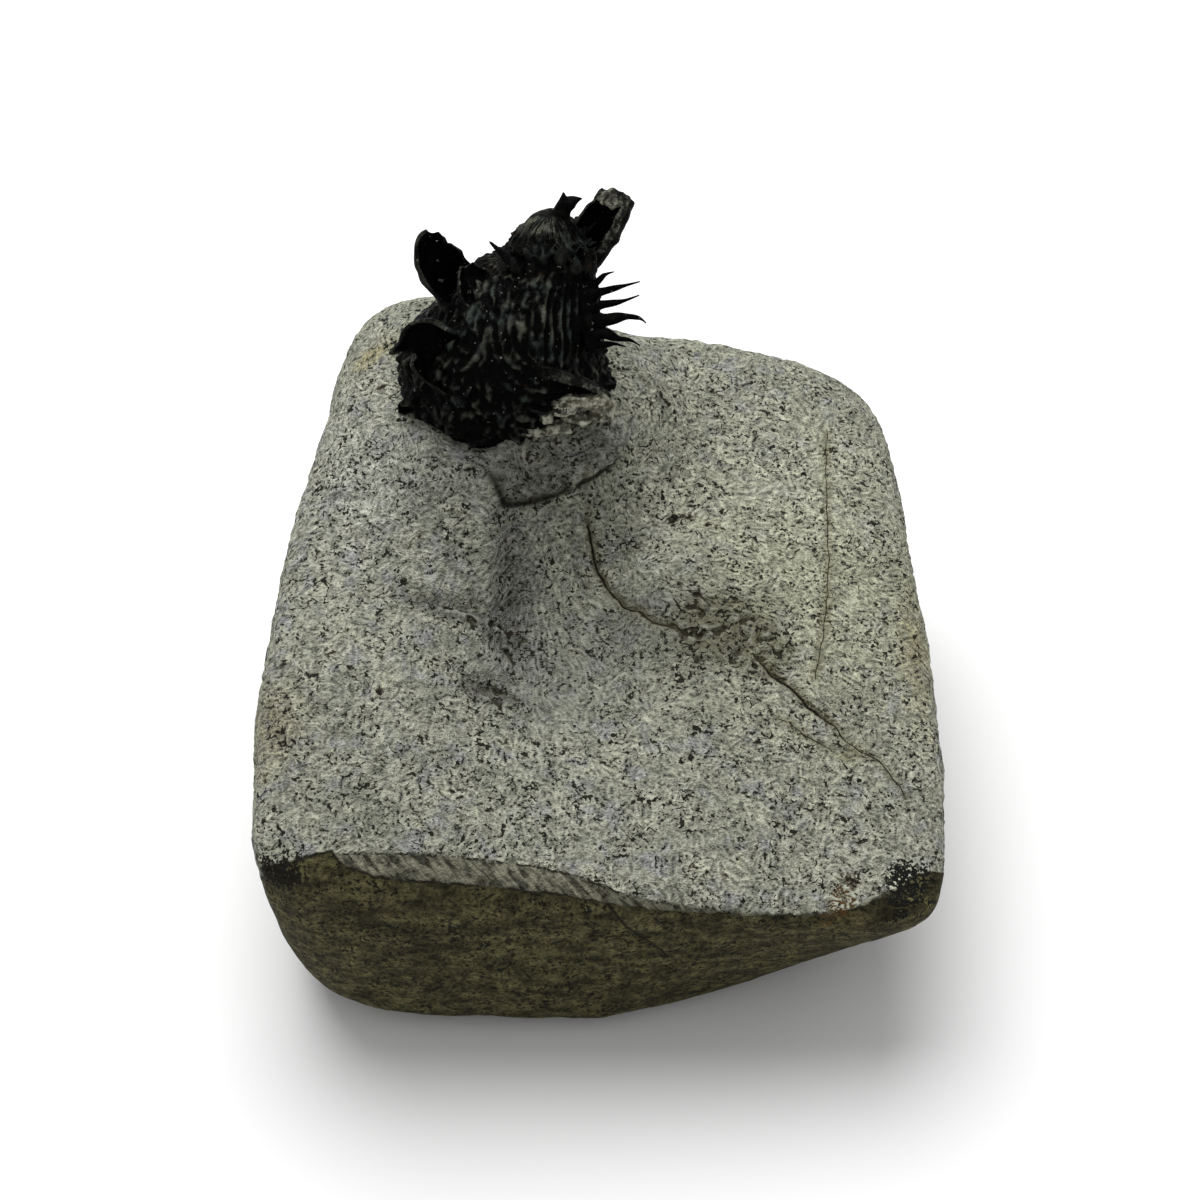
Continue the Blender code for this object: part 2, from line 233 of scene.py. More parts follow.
skin = bmesh.new()
bmesh.ops.create_cube(skin, size=2)
bmesh.ops.subdivide_edges(skin, edges=skin.edges[:], cuts=ROCK_GRID - 1, use_grid_fill=True)
rock_mesh = bpy.data.meshes.new("limestone_block")
skin.to_mesh(rock_mesh)
skin.free()
place(rock_mesh, on_block(coordinates(rock_mesh)))

# The ledge under the shell's front right, a thick tongue with a steep face and a sharp lower lip.
LEDGE_MIDDLE, LEDGE_HALVES = SEAT + Vector((7.0, -9.2, -3.1)), (11.4, 5.1, 3.6)
LEDGE_TURN = Euler((math.radians(56), math.radians(-15), math.radians(12)))


def ledge_measure(x, y, z):
    """1 on the ledge's skin and less inside it, for a place counted in its own half sizes."""
    outline = (abs(x) ** 2.3 + abs(y) ** 2.3) ** (1 / 2.3)
    return (outline**7 + abs(z) ** 7) ** (1 / 7)


ledge = bmesh.new()
bmesh.ops.create_icosphere(ledge, subdivisions=5, radius=1)
for vert in ledge.verts:
    point = vert.co / ledge_measure(*vert.co)
    lump = 1 + 0.05 * math.sin(3.1 * point.x + 1.2) + 0.04 * math.sin(5.3 * point.x + 4 * point.z)
    point = Vector((point.x, point.y * lump, point.z * lump)) * Vector(LEDGE_HALVES)
    point.rotate(LEDGE_TURN)
    vert.co = LEDGE_MIDDLE + point
ledge.from_mesh(rock_mesh)
ledge.to_mesh(rock_mesh)
ledge.free()

rock = set_out("limestone_block", rock_mesh)
rock_mesh = one_skin(rock, ROCK_VOXEL)

# The ledge is rubbed down where its left end joins the hill.
LEDGE_END, LEDGE_END_REACH = (-17.5, 12.5, 51.5), (7, 8, 7)
points = coordinates(rock_mesh)
joined = np.exp(-((((points - LEDGE_END) / LEDGE_END_REACH) ** 2).sum(1)))[:, None]
for again in range(10):
    points += np.clip(0.03 + 1.6 * joined, 0, 1) * (neighbour_mean(rock_mesh, points) - points)

# The bed's own skin begins below an edge that runs round the block; over it, at the front, is a
# band of slanting chisel marks.
FRONT_BEGINS, FRONT_FADE = -34, 8
x, y, z = points.T
near_front = np.clip((FRONT_BEGINS - y) / FRONT_FADE, 0, 1)
edge, band = (np.interp(x, EDGE[:, 0], EDGE[:, k]) for k in (1, 2))
above = (1 - near_front) * (z - SKIN_HEIGHT) + near_front * (y + z - edge)
store(rock_mesh, "above_edge", above)
store(rock_mesh, "above_band", above - near_front * band)
within = (points - LEDGE_MIDDLE) @ np.array(LEDGE_TURN.to_matrix()) / LEDGE_HALVES
apart = ledge_measure(*within.T)
fading = np.clip((x + 21) / 7, 0, 1)
# Where the ledge is; the stone's colour paints shade on its steep face.
store(rock_mesh, "on_ledge", np.clip((1.2 - apart) / 0.08, 0, 1) * fading)
# A thin band under the ledge's lower lip, where the stone's colour paints the lip's shadow.
lip = np.exp(-(((apart - 1.13) / 0.08) ** 2)) * np.clip(1 - 2 * within[:, 1], 0, 1)
store(rock_mesh, "under_lip", lip * fading)
place(rock_mesh, points * MM)


class Term:
    """A node's socket as a term of a formula: arithmetic on it adds the nodes that do it."""

    def __init__(self, tree, socket=None):
        self.tree, self.socket = tree, socket

    def node(self, kind, settings={}, inputs={}, output=0):
        """Any other node: its settings, then the value or link of each socket that is given."""
        made = self.tree.nodes.new(kind)
        for name, value in settings.items():
            setattr(made, name, value)
        for name, value in inputs.items():
            if isinstance(value, Term):
                self.tree.links.new(value.socket, made.inputs[name])
            else:
                made.inputs[name].default_value = value
        return Term(self.tree, made.outputs[output]) if made.outputs else None

    def apply(self, operation, *terms, output=0):
        """A Math node on these terms, or a Vector Math node if one of them is a vector."""
        wide = any(isinstance(t, Term) and t.socket.type in ("VECTOR", "RGBA") for t in terms)
        spread = [(t,) * 3 if wide and isinstance(t, (int, float)) else t for t in terms]
        kind = "ShaderNodeVectorMath" if wide else "ShaderNodeMath"
        return self.node(kind, {"operation": operation}, dict(enumerate(spread)), output)

    def __add__(self, other):
        return self.apply("ADD", self, other)

    def __sub__(self, other):
        return self.apply("SUBTRACT", self, other)

    def __rsub__(self, other):
        return self.apply("SUBTRACT", other, self)

    def __mul__(self, other):
        return self.apply("MULTIPLY", self, other)

    def __truediv__(self, other):
        return self.apply("DIVIDE", self, other)

    __radd__, __rmul__ = __add__, __mul__

    def eased(self, low, high):
        """0 up to low and 1 from high on, with a soft step between them."""
        limits = {"Value": self, "From Min": low, "From Max": high}
        return self.node("ShaderNodeMapRange", {"interpolation_type": "SMOOTHSTEP"}, limits)

    def grain(self, size, detail=2.0, roughness=0.5, shift=0.0):
        """Noise around 0 whose lumps are this size; self is a place in millimetres."""
        where = self + (31 * shift, 17 * shift, 7 * shift) if shift else self
        sizes = {"Vector": where, "Scale": 1 / size, "Detail": detail, "Roughness": roughness}
        return self.node("ShaderNodeTexNoise", {}, sizes) - 0.5

    def drift(self, size):
        """Noise like grain, but in three directions at once."""
        sizes = {"Vector": self, "Scale": 1 / size, "Detail": 1.0}
        return self.node("ShaderNodeTexNoise", {}, sizes, "Color") - (0.5, 0.5, 0.5)

    def patch(self, centre, size):
        """1 at the centre of an oval patch, fading away round it."""
        away = self.apply("LENGTH", (self - centre) / size, output=1)
        return self.apply("EXPONENT", -1 * away * away)

    def between(self, under, over):
        """The colour under where this share is 0, and the colour over where it is 1."""
        colours = [c if isinstance(c, Term) else (*c, 1) for c in (under, over)]
        inputs = {0: self, 6: colours[0], 7: colours[1]}
        return self.node("ShaderNodeMix", {"data_type": "RGBA"}, inputs, 2)


# Where the tools and the bed's own faults have marked the block. These are read both by the
# nodes that cut the marks and by those that colour them.
CRACKS = (  # corners of each crack as (x, y), and its half width
    (((-2.1, 9.8), (1.0, 2.8), (3.4, -1.4), (7.1, -5.6), (9.9, -6.8)), 0.15),
    (((21.6, -12.0), (23.5, -14.5), (26.7, -16.6), (28.8, -18.5), (31.4, -20.4)), 0.17),
    (((24.0, -20.6), (26.7, -22.0), (31.4, -24.7)), 0.08),
    (((31.4, -20.4), (33.5, -22.8), (37.6, -25.0), (41.4, -30.0)), 0.09),
    (((33.5, 31.0), (32.9, 17.8), (32.6, 6.8), (31.6, -4.3), (29.5, -14.5)), 0.07),
)
FACE_CRACK = ((0.1, 32.0), (3.0, 27.5), (8.2, 20.2))  # (x, z) on the front's dark skin
PITTED = (  # middle and spread of the patches where the bed is full of worm-shaped pits
    ((16.8, -6.4, 42), (8.0, 6.2, 9)),
    ((22.5, -11.8, 40), (4.0, 3.6, 9)),
    ((-21.0, -6.4, 44), (9.0, 1.7, 9)),
    ((-13.5, -8.5, 40), (3.5, 2.8, 9)),
    ((-15.5, -18.0, 40), (4.8, 2.2, 9)),
    ((9.0, 28.4, 54), (1.1, 1.6, 9)),
)
FAN = (-10.5, 9.5, 48)  # the strokes in the valley spread from here
FANNED = ((-8.0, -2.0, 44), (8.0, 13.0, 14))  # and keep to their fan inside this patch


def from_crack(bent, corners, level=(1, 1, 0)):
    """Distance from a crack, seen along the direction that level leaves out."""
    flat = bent * level
    nearest = None
    corners = [Vector((x, other * level[1], other * level[2])) for x, other in corners]
    for start, end in zip(corners, corners[1:]):
        run = end - start
        offset = flat - tuple(start)
        along = flat.apply("DOT_PRODUCT", offset, tuple(run / run.length_squared), output=1)
        along = along.node("ShaderNodeClamp", {}, {"Value": along})
        along = flat.node("ShaderNodeCombineXYZ", {}, {0: along, 1: along, 2: along})
        away = flat.apply("LENGTH", offset - along * tuple(run), output=1)
        nearest = away if nearest is None else nearest.apply("MINIMUM", nearest, away)
    return nearest


def pitted(place):
    """How full of pits the stone is at a place, from 0 to 1."""
    share = 0.0
    for centre, spread in PITTED:
        share = place.patch(centre, spread) + share
    return share


def stroke(place, bend, size, reach):
    """Noise drawn out along the tools' strokes, which fan down the valley and cross elsewhere."""
    order = place.patch(*FANNED) * 5 + 0.5
    away = place.apply("NORMALIZE", (place - FAN) * (1, 1, 0.25))
    heading = place.apply("NORMALIZE", away * order + bend * 5)
    total = 0.0
    for step in (-1.0, 0.0, 1.0):
        total = (place + heading * (step * reach)).grain(size, 1.0, 0.6) + total
    return total * 0.6


def worm_line(place, bend, size, thin, shift):
    """How near a place is to one of the curved nicks, from 1 on it to 0 away from it."""
    line = (place + bend * (size * 0.7)).grain(size, 0.0, 0.5, shift)
    line = line.apply("ABSOLUTE", line)
    kept = place.grain(size * 0.8, 1.0, 0.5, shift + 1)
    return line.eased(thin * 1.3, thin * 0.5) * kept.eased(0.02, 0.11)


def tree_with(name, sizes):
    """A tree for a piece's geometry, its first term, and its named inputs as terms."""
    tree = bpy.data.node_groups.new(name, "GeometryNodeTree")
    kinds = {float: "NodeSocketFloat", int: "NodeSocketInt", type(None): "NodeSocketObject"}
    add = tree.interface.new_socket
    add(name="Geometry", in_out="INPUT", socket_type="NodeSocketGeometry")
    for label, size in sizes.items():
        socket = add(name=label, in_out="INPUT", socket_type=kinds[type(size)])
        if size is not None:
            socket.default_value = size
    add(name="Material", in_out="INPUT", socket_type="NodeSocketMaterial")
    add(name="Geometry", in_out="OUTPUT", socket_type="NodeSocketGeometry")
    start = Term(tree)
    given = start.node("NodeGroupInput").socket.node.outputs
    return tree, start, {label: Term(tree, given[label]) for label in ("Geometry", "Material", *sizes)}


def end_tree(start, given, geometry):
    """The tree's last nodes: every instance made real, and the piece's material set."""
    real = start.node("GeometryNodeRealizeInstances", {}, {"Geometry": geometry})
    coated = {"Geometry": real, "Material": given["Material"]}
    coated = start.node("GeometryNodeSetMaterial", {}, coated)
    start.node("NodeGroupOutput", {}, {"Geometry": coated})


# Cracks, pits, chips and strokes are cut into the skin, and the front is undercut a little.
stone_sizes = {
    "Unevenness": 0.5,
    "Chip depth": 0.46,
    "Stroke depth": 0.3,
    "Pit depth": 0.75,
    "Crack depth": 0.5,
    "Undercut": 0.8,
}
stonework, start, given = tree_with("stonework", stone_sizes)
place_mm = start.node("GeometryNodeInputPosition") * 1000
bend = place_mm.drift(3.2)
above = start.node("GeometryNodeInputNamedAttribute", {"data_type": "FLOAT"}, {"Name": "above_edge"})
ragged = above + place_mm.grain(2.6, 3.0, 0.6) * 1.8
dressed = ragged.eased(-0.25, 0.25)
bed_skin = 1 - dressed
coarse = place_mm.grain(6.0, 1.0, 0.5, 2.0).eased(-0.15, 0.15) * 0.8 + 0.6
on_ledge = start.node("GeometryNodeInputNamedAttribute", {"data_type": "FLOAT"}, {"Name": "on_ledge"})
coarse = coarse + on_ledge * 0.9
chips = place_mm.grain(1.7, 2.0, 0.6) * given["Chip depth"] * coarse * 1.5
strokes = stroke(place_mm, bend, 0.9, 0.8) * given["Stroke depth"]
lumps = place_mm.grain(9.0, 3.0, 0.5) * given["Unevenness"] * 2
pits = worm_line(place_mm, bend, 2.6, 0.09, 7.0) * pitted(place_mm).eased(0.15, 0.7)
cracks = 0.0
for corners, half_width in CRACKS:
    groove = from_crack(place_mm + bend, corners).eased(half_width * 3.4, half_width)
    cracks = groove * min(1.0, half_width / 0.16) ** 2 + cracks
cracks = cracks * dressed
cut = pits * given["Pit depth"] + cracks * given["Crack depth"]
relief = lumps + (chips + strokes) * (dressed * 0.85 + 0.15) - cut
normal = start.node("GeometryNodeInputNormal")
forward = normal.apply("DOT_PRODUCT", normal, (0, -1, 0), output=1).eased(0.5, 0.9)
under = bed_skin * forward * above.eased(-22, 0) * given["Undercut"]
push = normal * relief
inward = start.node("ShaderNodeCombineXYZ", {}, {1: under})
moved = {"Geometry": given["Geometry"], "Offset": (push + inward) * 0.001}
moved = start.node("GeometryNodeSetPosition", {}, moved)
# The depth of the cut pits and cracks is kept for the colour, which paints shade in them.
kept = {"Geometry": moved, "Name": "pit_depth", "Value": cut}
per_corner = {"data_type": "FLOAT", "domain": "POINT"}
end_tree(start, given, start.node("GeometryNodeStoreNamedAttribute", per_corner, kept))

TONE_PATCHES = (  # middle, spread, strength and colour of the dark, pale and rusty patches; those marked are painted shade and painted light
    ((-12.0, 0.0, 44), (4.0, 11.0, 14), 0.75, (0.07, 0.075, 0.065)),  # painted shade down the trough
    # painted shade on the hill's front slope, where the ledge's left end joins it
    ((-18.0, 11.0, 51), (6.0, 5.0, 6), 0.5, (0.1, 0.105, 0.09)),
    ((13.0, -6.0, 40), (10.0, 7.0, 12), 0.6, (0.085, 0.085, 0.065)),
    ((3.0, -4.0, 40), (7.0, 8.0, 12), 0.5, (0.1, 0.105, 0.09)),
    ((1.5, 5.0, 46), (7.0, 4.0, 5), 0.5, (0.34, 0.345, 0.28)),  # painted light under the ledge, lifting the shell's cast shadow
    ((7.5, 13.5, 48), (5.0, 8.0, 7), 0.6, (0.36, 0.365, 0.29)),
    ((-33.0, 14.0, 50), (9.0, 12.0, 12), 0.5, (0.37, 0.375, 0.33)),  # painted light on the left shoulder
    ((-10.0, -14.0, 40), (9.0, 9.0, 14), 0.6, (0.13, 0.135, 0.12)),
    ((3.0, -6.0, 42), (12.0, 12.0, 14), 0.22, (0.1, 0.105, 0.088)),
    ((28.0, 20.0, 46), (12.0, 12.0, 14), 0.35, (0.39, 0.395, 0.32)),
    # more painted shade on the hill's front slope
    ((-19.0, 12.0, 52), (6.0, 6.0, 8), 0.4, (0.12, 0.125, 0.115)),
    ((-34.0, -38.0, 38), (12.0, 7.0, 8), 0.35, (0.15, 0.155, 0.12)),
    ((-20.5, -6.0, 44), (9.0, 2.2, 9), 0.75, (0.07, 0.07, 0.06)),  # painted shade along the left creases
    ((-15.5, -18.0, 40), (5.5, 2.2, 9), 0.65, (0.075, 0.075, 0.06)),
    ((-44.0, -25.0, 41), (3.5, 7.0, 4), 0.5, (0.14, 0.11, 0.05)),
    ((-33.5, 30.5, 60), (3.5, 2.0, 3), 0.6, (0.3, 0.26, 0.1)),
    ((44.5, -6.0, 36), (2.2, 10.0, 6), 0.5, (0.22, 0.19, 0.09)),
    ((33.9, -24.9, 34.9), (1.6, 1.2, 3), 0.6, (0.08, 0.075, 0.02)),
)
CORNER_STAINS = (  # the same, on the front's two corners
    ((31.0, -47.0, 28.6), (2.4, 3.0, 1.0), 0.7, (0.08, 0.045, 0.015)),
    ((40.5, -43.8, 29.2), (3.4, 3.6, 1.9), 0.9, (0.006, 0.006, 0.005)),
    ((-43.0, -46.0, 35.5), (3.8, 3.2, 1.7), 1.0, (0.009, 0.008, 0.005)),
)
SUNNED_RIGHT = ((30, 5, 44), (22, 28, 40))  # the warmer right half
BROWNED_PITS = ((20.0, -9.0, 41.0), (12, 10, 14))  # pits stained brown rather than grey
FACE_CRACK_PATCH = ((4.0, -49.0, 26.0), (14, 8, 14))
GREY_GREEN = ((0.2, 0.205, 0.162), (0.276, 0.28, 0.222))
LILAC, CREAM, WARM = (0.205, 0.207, 0.21), (0.33, 0.32, 0.22), (0.31, 0.315, 0.215)
LEDGE_FACE_SHADE, CREST_PALE = (0.11, 0.115, 0.097), (0.42, 0.425, 0.36)
GREY_DIRT, BROWN_DIRT = (0.08, 0.083, 0.07), (0.085, 0.08, 0.045)
NICK_BLACK, LIP_SHADOW, PIT_SHADE = (0.008, 0.0075, 0.004), (0.009, 0.008, 0.005), (0.02, 0.017, 0.008)
CRACK_BLACK, CRACK_RUST = (0.008, 0.007, 0.004), (0.11, 0.1, 0.05)
CHISELLED = ((0.016, 0.014, 0.008), (0.19, 0.185, 0.13))
BED_SKIN = ((0.03, 0.027, 0.011), (0.082, 0.074, 0.034))
limestone = bpy.data.materials.new("carved_limestone")
limestone.use_nodes = True
surface = limestone.node_tree.nodes["Principled BSDF"]
start = Term(limestone.node_tree)
place_mm = start.node("ShaderNodeTexCoord", output="Object") * 1000
above = start.node("ShaderNodeAttribute", {"attribute_name": "above_edge"}, output="Fac")
above_band = start.node("ShaderNodeAttribute", {"attribute_name": "above_band"}, output="Fac")
hollow = start.node("ShaderNodeAttribute", {"attribute_name": "pit_depth"}, output="Fac")
crest = start.node("ShaderNodeAttribute", {"attribute_name": "crest"}, output="Fac")
on_ledge = start.node("ShaderNodeAttribute", {"attribute_name": "on_ledge"}, output="Fac")
under_lip = start.node("ShaderNodeAttribute", {"attribute_name": "under_lip"}, output="Fac")

# Pale carved stone: green-grey, lilac-grey and cream, curdled, with light strokes and dark nicks.
bend = place_mm.drift(3.2)
curd = place_mm.grain(1.7, 3.0, 0.6, 7.0)
fine = stroke(place_mm, bend, 0.5, 0.4)
broad = place_mm.grain(7.0, 4.0, 0.65)
body = broad.eased(-0.16, 0.16).between(*GREY_GREEN)
lilac = place_mm.grain(3.6, 2.0, 0.6, 2.0).eased(0.0, 0.2) * 0.8
body = lilac.between(body, LILAC)
cream = (broad + curd * 0.6).eased(0.1, 0.3) * 0.5
body = cream.between(body, CREAM)
body = (place_mm.patch(*SUNNED_RIGHT) * 0.55).between(body, WARM)
# The patches are laid on, the painted shade and painted light among them.
for centre, spread, share, tone in TONE_PATCHES:
    patch_mask = (place_mm + curd * 5).patch(centre, spread) * (curd * 1.5 + 1) * share
    body = patch_mask.between(body, tone)
# Painted shade on the ledge's steep face, which is turned away from the light.
body = (on_ledge * (0.75 - curd)).between(body, LEDGE_FACE_SHADE)
shade = (curd.eased(-0.24, 0.24) * 0.5 + 0.77) * (fine.eased(-0.3, 0.3) * 1.3 + 0.37)
body = body * shade
full = pitted(place_mm).eased(0.1, 0.75)
crowd = place_mm.grain(4.5, 2.0, 0.65, 8.0).eased(-0.18, 0.14) * 0.85 + 0.15
flecks = stroke(place_mm + 40, bend, 0.85, 0.8).eased(-0.125, -0.16)
nicks = worm_line(place_mm, bend, 1.1, 0.055, 1.0) * 0.9 + flecks + fine.eased(-0.16, -0.21)
nicks = nicks * (crowd + full) + worm_line(place_mm, bend, 2.6, 0.07, 7.0) * full * 2
nicks = nicks.eased(0.2, 0.65)
pitted_tone = place_mm.patch(*BROWNED_PITS).eased(0.0, 0.5).between(GREY_DIRT, BROWN_DIRT)
body = ((full - 0.25) * (0.8 - curd * 2)).between(body, pitted_tone)
body = (nicks * 0.97).between(body, NICK_BLACK)
# Painted shadow: a thin dark line under the ledge's lip.
body = (under_lip * (curd + 1.15)).between(body, LIP_SHADOW)
# Painted shade in the cut pits and crack grooves, darkest where they are cut deepest.
body = (hollow + fine * 0.6).eased(0.25, 0.55).between(body, PIT_SHADE)
# Painted shade in the grooves that the crest measure finds.
body = (crest.eased(-0.05, -0.32) * 0.75).between(body, (0.05, 0.047, 0.03))
# Paler on the crests of the carved top.
body = (crest.eased(0.06, 0.34) * above.eased(1.0, 4.0) * 0.5).between(body, CREST_PALE)
bent = place_mm + bend
for corners, half_width in CRACKS:
    line = from_crack(bent, corners)
    broken = (curd + fine).eased(-0.28, -0.1)
    body = (line.eased(1.3, 0.2) * broken * 0.4).between(body, CRACK_RUST)
    dark = line.eased(half_width * 1.5, half_width * 0.6) * broken
    body = dark.between(body, CRACK_BLACK)

# The band under the upper edge is cut back in dark slanting chisel marks.
across = place_mm.apply("DOT_PRODUCT", place_mm + bend, (0.9, 0.6, 0.6), output=1)
down = place_mm.apply("DOT_PRODUCT", place_mm, (0.2, -0.14, -0.14), output=1)
marks = start.node("ShaderNodeCombineXYZ", {}, {0: across, 1: down}).grain(0.8, 2.0, 0.6) + curd * 0.5
band_tone = marks.eased(-0.16, 0.2).between(*CHISELLED)
chiselled = (above_band + curd * 2).eased(0.3, -0.5)
body = (chiselled * 0.9).between(body, band_tone)
upper_line = (above_band + curd * 2).apply("ABSOLUTE", above_band + curd * 2)
upper_line = upper_line.eased(0.42, 0.1) * (above - above_band).eased(0.9, 1.6)
body = (upper_line * (broad + curd + fine).eased(-0.1, 0.12)).between(body, (0.012, 0.011, 0.006))

# Weathered bed skin: dark olive brown, with faint level banding and a fine grain.
level = (place_mm * (0.45, 0.45, 1.3)).grain(2.6, 3.0, 0.6).eased(-0.2, 0.2)
skin_tone = level.between(*BED_SKIN)
skin_tone = skin_tone * (curd.eased(-0.25, 0.25) * 1.1 + 0.45) * (fine.eased(-0.3, 0.3) * 1.1 + 0.45)
skin_tone = (nicks * 0.9).between(skin_tone, (0.006, 0.006, 0.003))
line = from_crack(bent, FACE_CRACK, (1, 0, 1))
on_face = place_mm.patch(*FACE_CRACK_PATCH).eased(0.2, 0.5)
skin_tone = (line.eased(0.3, 0.1) * on_face * 0.9).between(skin_tone, (0.01, 0.009, 0.004))
ragged = above + place_mm.grain(2.6, 3.0, 0.6) * 1.8
stone = ragged.eased(0.12, -0.12).between(body, skin_tone)
# A thin dark line along the top of the dark skin: painted shadow under the stone that overhangs it.
shadow_under_edge = ragged.eased(-0.9, -0.1) * ragged.eased(0.5, 0.0)
shadow_under_edge = shadow_under_edge * (broad + curd).eased(-0.2, 0.1)
stone = shadow_under_edge.between(stone, (0.01, 0.009, 0.005))
for centre, spread, share, tone in CORNER_STAINS:
    patch_mask = (place_mm + (curd + fine) * 9).patch(centre, spread) * share + curd + broad
    stone = patch_mask.eased(0.2, 0.4).between(stone, tone)

limestone.node_tree.links.new(stone.socket, surface.inputs["Base Color"])
surface.inputs["Roughness"].default_value = 0.85
surface.inputs["Specular IOR Level"].default_value = 0.12
tooth = fine * 0.8 + curd * 1.3
bump = start.node("ShaderNodeBump", {}, {"Height": tooth, "Distance": 0.0007, "Strength": 0.9})
limestone.node_tree.links.new(bump.socket, surface.inputs["Normal"])

modifier_with(rock, stonework, {"Material": limestone})
rock_mesh = finished(rock)
points = coordinates(rock_mesh) / MM
store(rock_mesh, "crest", crests(rock_mesh, points, 8))
# Faces are saved first where the block is plain: on its back, its sides and its underside.
fewer = fewer_faces(rock, ROCK_TRIANGLES)
carved = rock.vertex_groups.new(name="carved")
seen = (points[:, 2] > 20) & ((points[:, 1] < 30) | (points[:, 2] > 36)) | (points[:, 1] < -40)
carved.add(np.nonzero(seen)[0].tolist(), 0.9, "REPLACE")
fewer.vertex_group = "carved"
fewer.invert_vertex_group = True
fewer.vertex_group_factor = 0.02
rock_mesh = finished(rock)
rock_mesh.shade_smooth()
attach(rock, "root")
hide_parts("limestone_matrix")


# ---- Spiny shell ----
# One sea-snail shell, now solid black calcite, standing on its buried mouth. It grew as a cap:
# each ribbed ledge is an old edge of its mouth, and the hollow horns and thin spines grew out of
# that edge. The horns are broken open and still hold a little pale stone.

SHELL_STATIONS = np.array(  # x, y, z, half width, half depth, roll, from the mouth to the dome
    [
        (1.3, -0.3, -3.5, 11.5, 9.7, 0),
        (0.5, 0.0, 0.0, 13.9, 11.2, 0),
        (0.4, 0.4, 3.6, 14.8, 11.4, 8),
        (1.6, 0.9, 6.8, 14.2, 11.0, 18),
        (3.7, 1.8, 10.4, 12.0, 10.4, 25),
        (4.5, 2.8, 13.8, 10.8, 9.5, 25),
        (4.9, 4.0, 16.6, 9.3, 8.2, 18),
        (5.9, 5.2, 18.8, 7.2, 6.8, 8),
        (6.7, 6.1, 20.8, 5.4, 5.4, 0),
        (6.9, 6.6, 22.9, 4.5, 4.5, 0),
        (7.0, 6.8, 24.9, 3.4, 3.4, 0),
        (7.1, 6.9, 26.1, 1.9, 1.9, 0),
        (7.1, 6.9, 26.5, 0.7, 0.7, 0),
    ]
)
SHELL_RINGS, SHELL_SIDES = 150, 252
LIPS = (  # stations where an old mouth edge shows, the next one up, and how far it stands out
    (1.3, 2.3, 0.5),
    (2.3, 4.0, 0.6),
    (6.9, 7.6, 0.5),
    (7.95, 8.4, 0.6),
    (8.5, 9.1, 0.8),
)
BULGE = ((-3.2, 18.5, 75.0), (6.5, 8.0, 6.0))  # middle and spread of the fluted bulge
ARCS_FROM = (-8.2, 0.0, 93.0)  # the curled growth arcs run round this place, seen from the front
RECESS = ((-1.0, 16.5, 68.8), (4.0, 4.0, 2.4))  # where the skin falls back over the low horn
SHELL_VOXEL = 0.2
SHELL_TRIANGLES = 190000


def smooth_through(stations, at):
    """The stations' values at each station number, on a Catmull-Rom curve through them all."""
    last = len(stations) - 1
    first = np.clip(np.floor(at).astype(int), 0, last - 1)
    t = (at - first)[:, None]
    p, q, r, s = (stations[np.clip(first + step, 0, last)] for step in (-1, 0, 1, 2))
    curve = 2 * q + (r - p) * t + (2 * p - 5 * q + 4 * r - s) * t**2 + (3 * q - p - 3 * r + s) * t**3
    return curve / 2


def tube_faces(rings, sides, first=0):
    """The faces of a closed tube of rings, with a fan over each end."""
    faces = []
    for i in range(rings - 1):
        low, high = first + i * sides, first + (i + 1) * sides
        faces += [(low + k - 1, low + k, high + k, high + k - 1) for k in range(1, sides)]
        faces.append((low + sides - 1, low, high, high + sides - 1))
    faces.append(tuple(range(first + sides - 1, first - 1, -1)))
    faces.append(tuple(first + (rings - 1) * sides + k for k in range(sides)))
    return faces


def face_outwards(mesh):
    skin = bmesh.new()
    skin.from_mesh(mesh)
    bmesh.ops.recalc_face_normals(skin, faces=skin.faces)
    skin.to_mesh(mesh)
    skin.free()


at = np.linspace(0, len(SHELL_STATIONS) - 1, SHELL_RINGS)
line = smooth_through(SHELL_STATIONS, at)
centre, half_width, half_depth = line[:, :3], line[:, 3:4], line[:, 4:5]
lean = np.gradient(centre[:, 1], at) / np.gradient(centre[:, 2], at)
roll = np.radians(line[:, 5])
side = np.stack((np.cos(roll), 0 * roll, -np.sin(roll)), 1)
deep = np.stack((0 * lean, np.ones_like(lean), -0.5 * lean * np.minimum(1, at / 5)), 1)
deep /= np.linalg.norm(deep, axis=1)[:, None]
turn = 2 * np.pi * np.arange(SHELL_SIDES) / SHELL_SIDES
rows = [
    centre + side * half_width * math.cos(angle) + deep * half_depth * math.sin(angle)
    for angle in turn
]
body_points = np.stack(rows, 1).reshape(-1, 3) + SEAT
body_mesh = bpy.data.meshes.new("shell_body")
body_mesh.from_pydata(body_points.tolist(), [], tube_faces(SHELL_RINGS, SHELL_SIDES))
face_outwards(body_mesh)
store(body_mesh, "along", np.repeat(at, SHELL_SIDES))
store(body_mesh, "around", np.tile(turn / (2 * np.pi), SHELL_RINGS))
body = set_out("shell_body", body_mesh)

growth_sizes = {
    "Ribs": 44.0,
    "Rib height": 0.62,
    "Fine ribs": 3.0,
    "Fine rib height": 0.06,
    "Growth lines": 3.3,
    "Growth line height": 0.07,
    "Arc spacing": 1.25,
    "Arc height": 0.75,
    "Lip flare": 1.1,
    "Knobbliness": 0.75,
    "Dome streaks": 2.0,
    "Unevenness": 1.0,
}
shell_growth, start, given = tree_with("shell_growth", growth_sizes)
by_name = {"data_type": "FLOAT"}
along = start.node("GeometryNodeInputNamedAttribute", by_name, {"Name": "along"})
around = start.node("GeometryNodeInputNamedAttribute", by_name, {"Name": "around"})
spot = start.node("GeometryNodeInputPosition")
normal = start.node("GeometryNodeInputNormal")

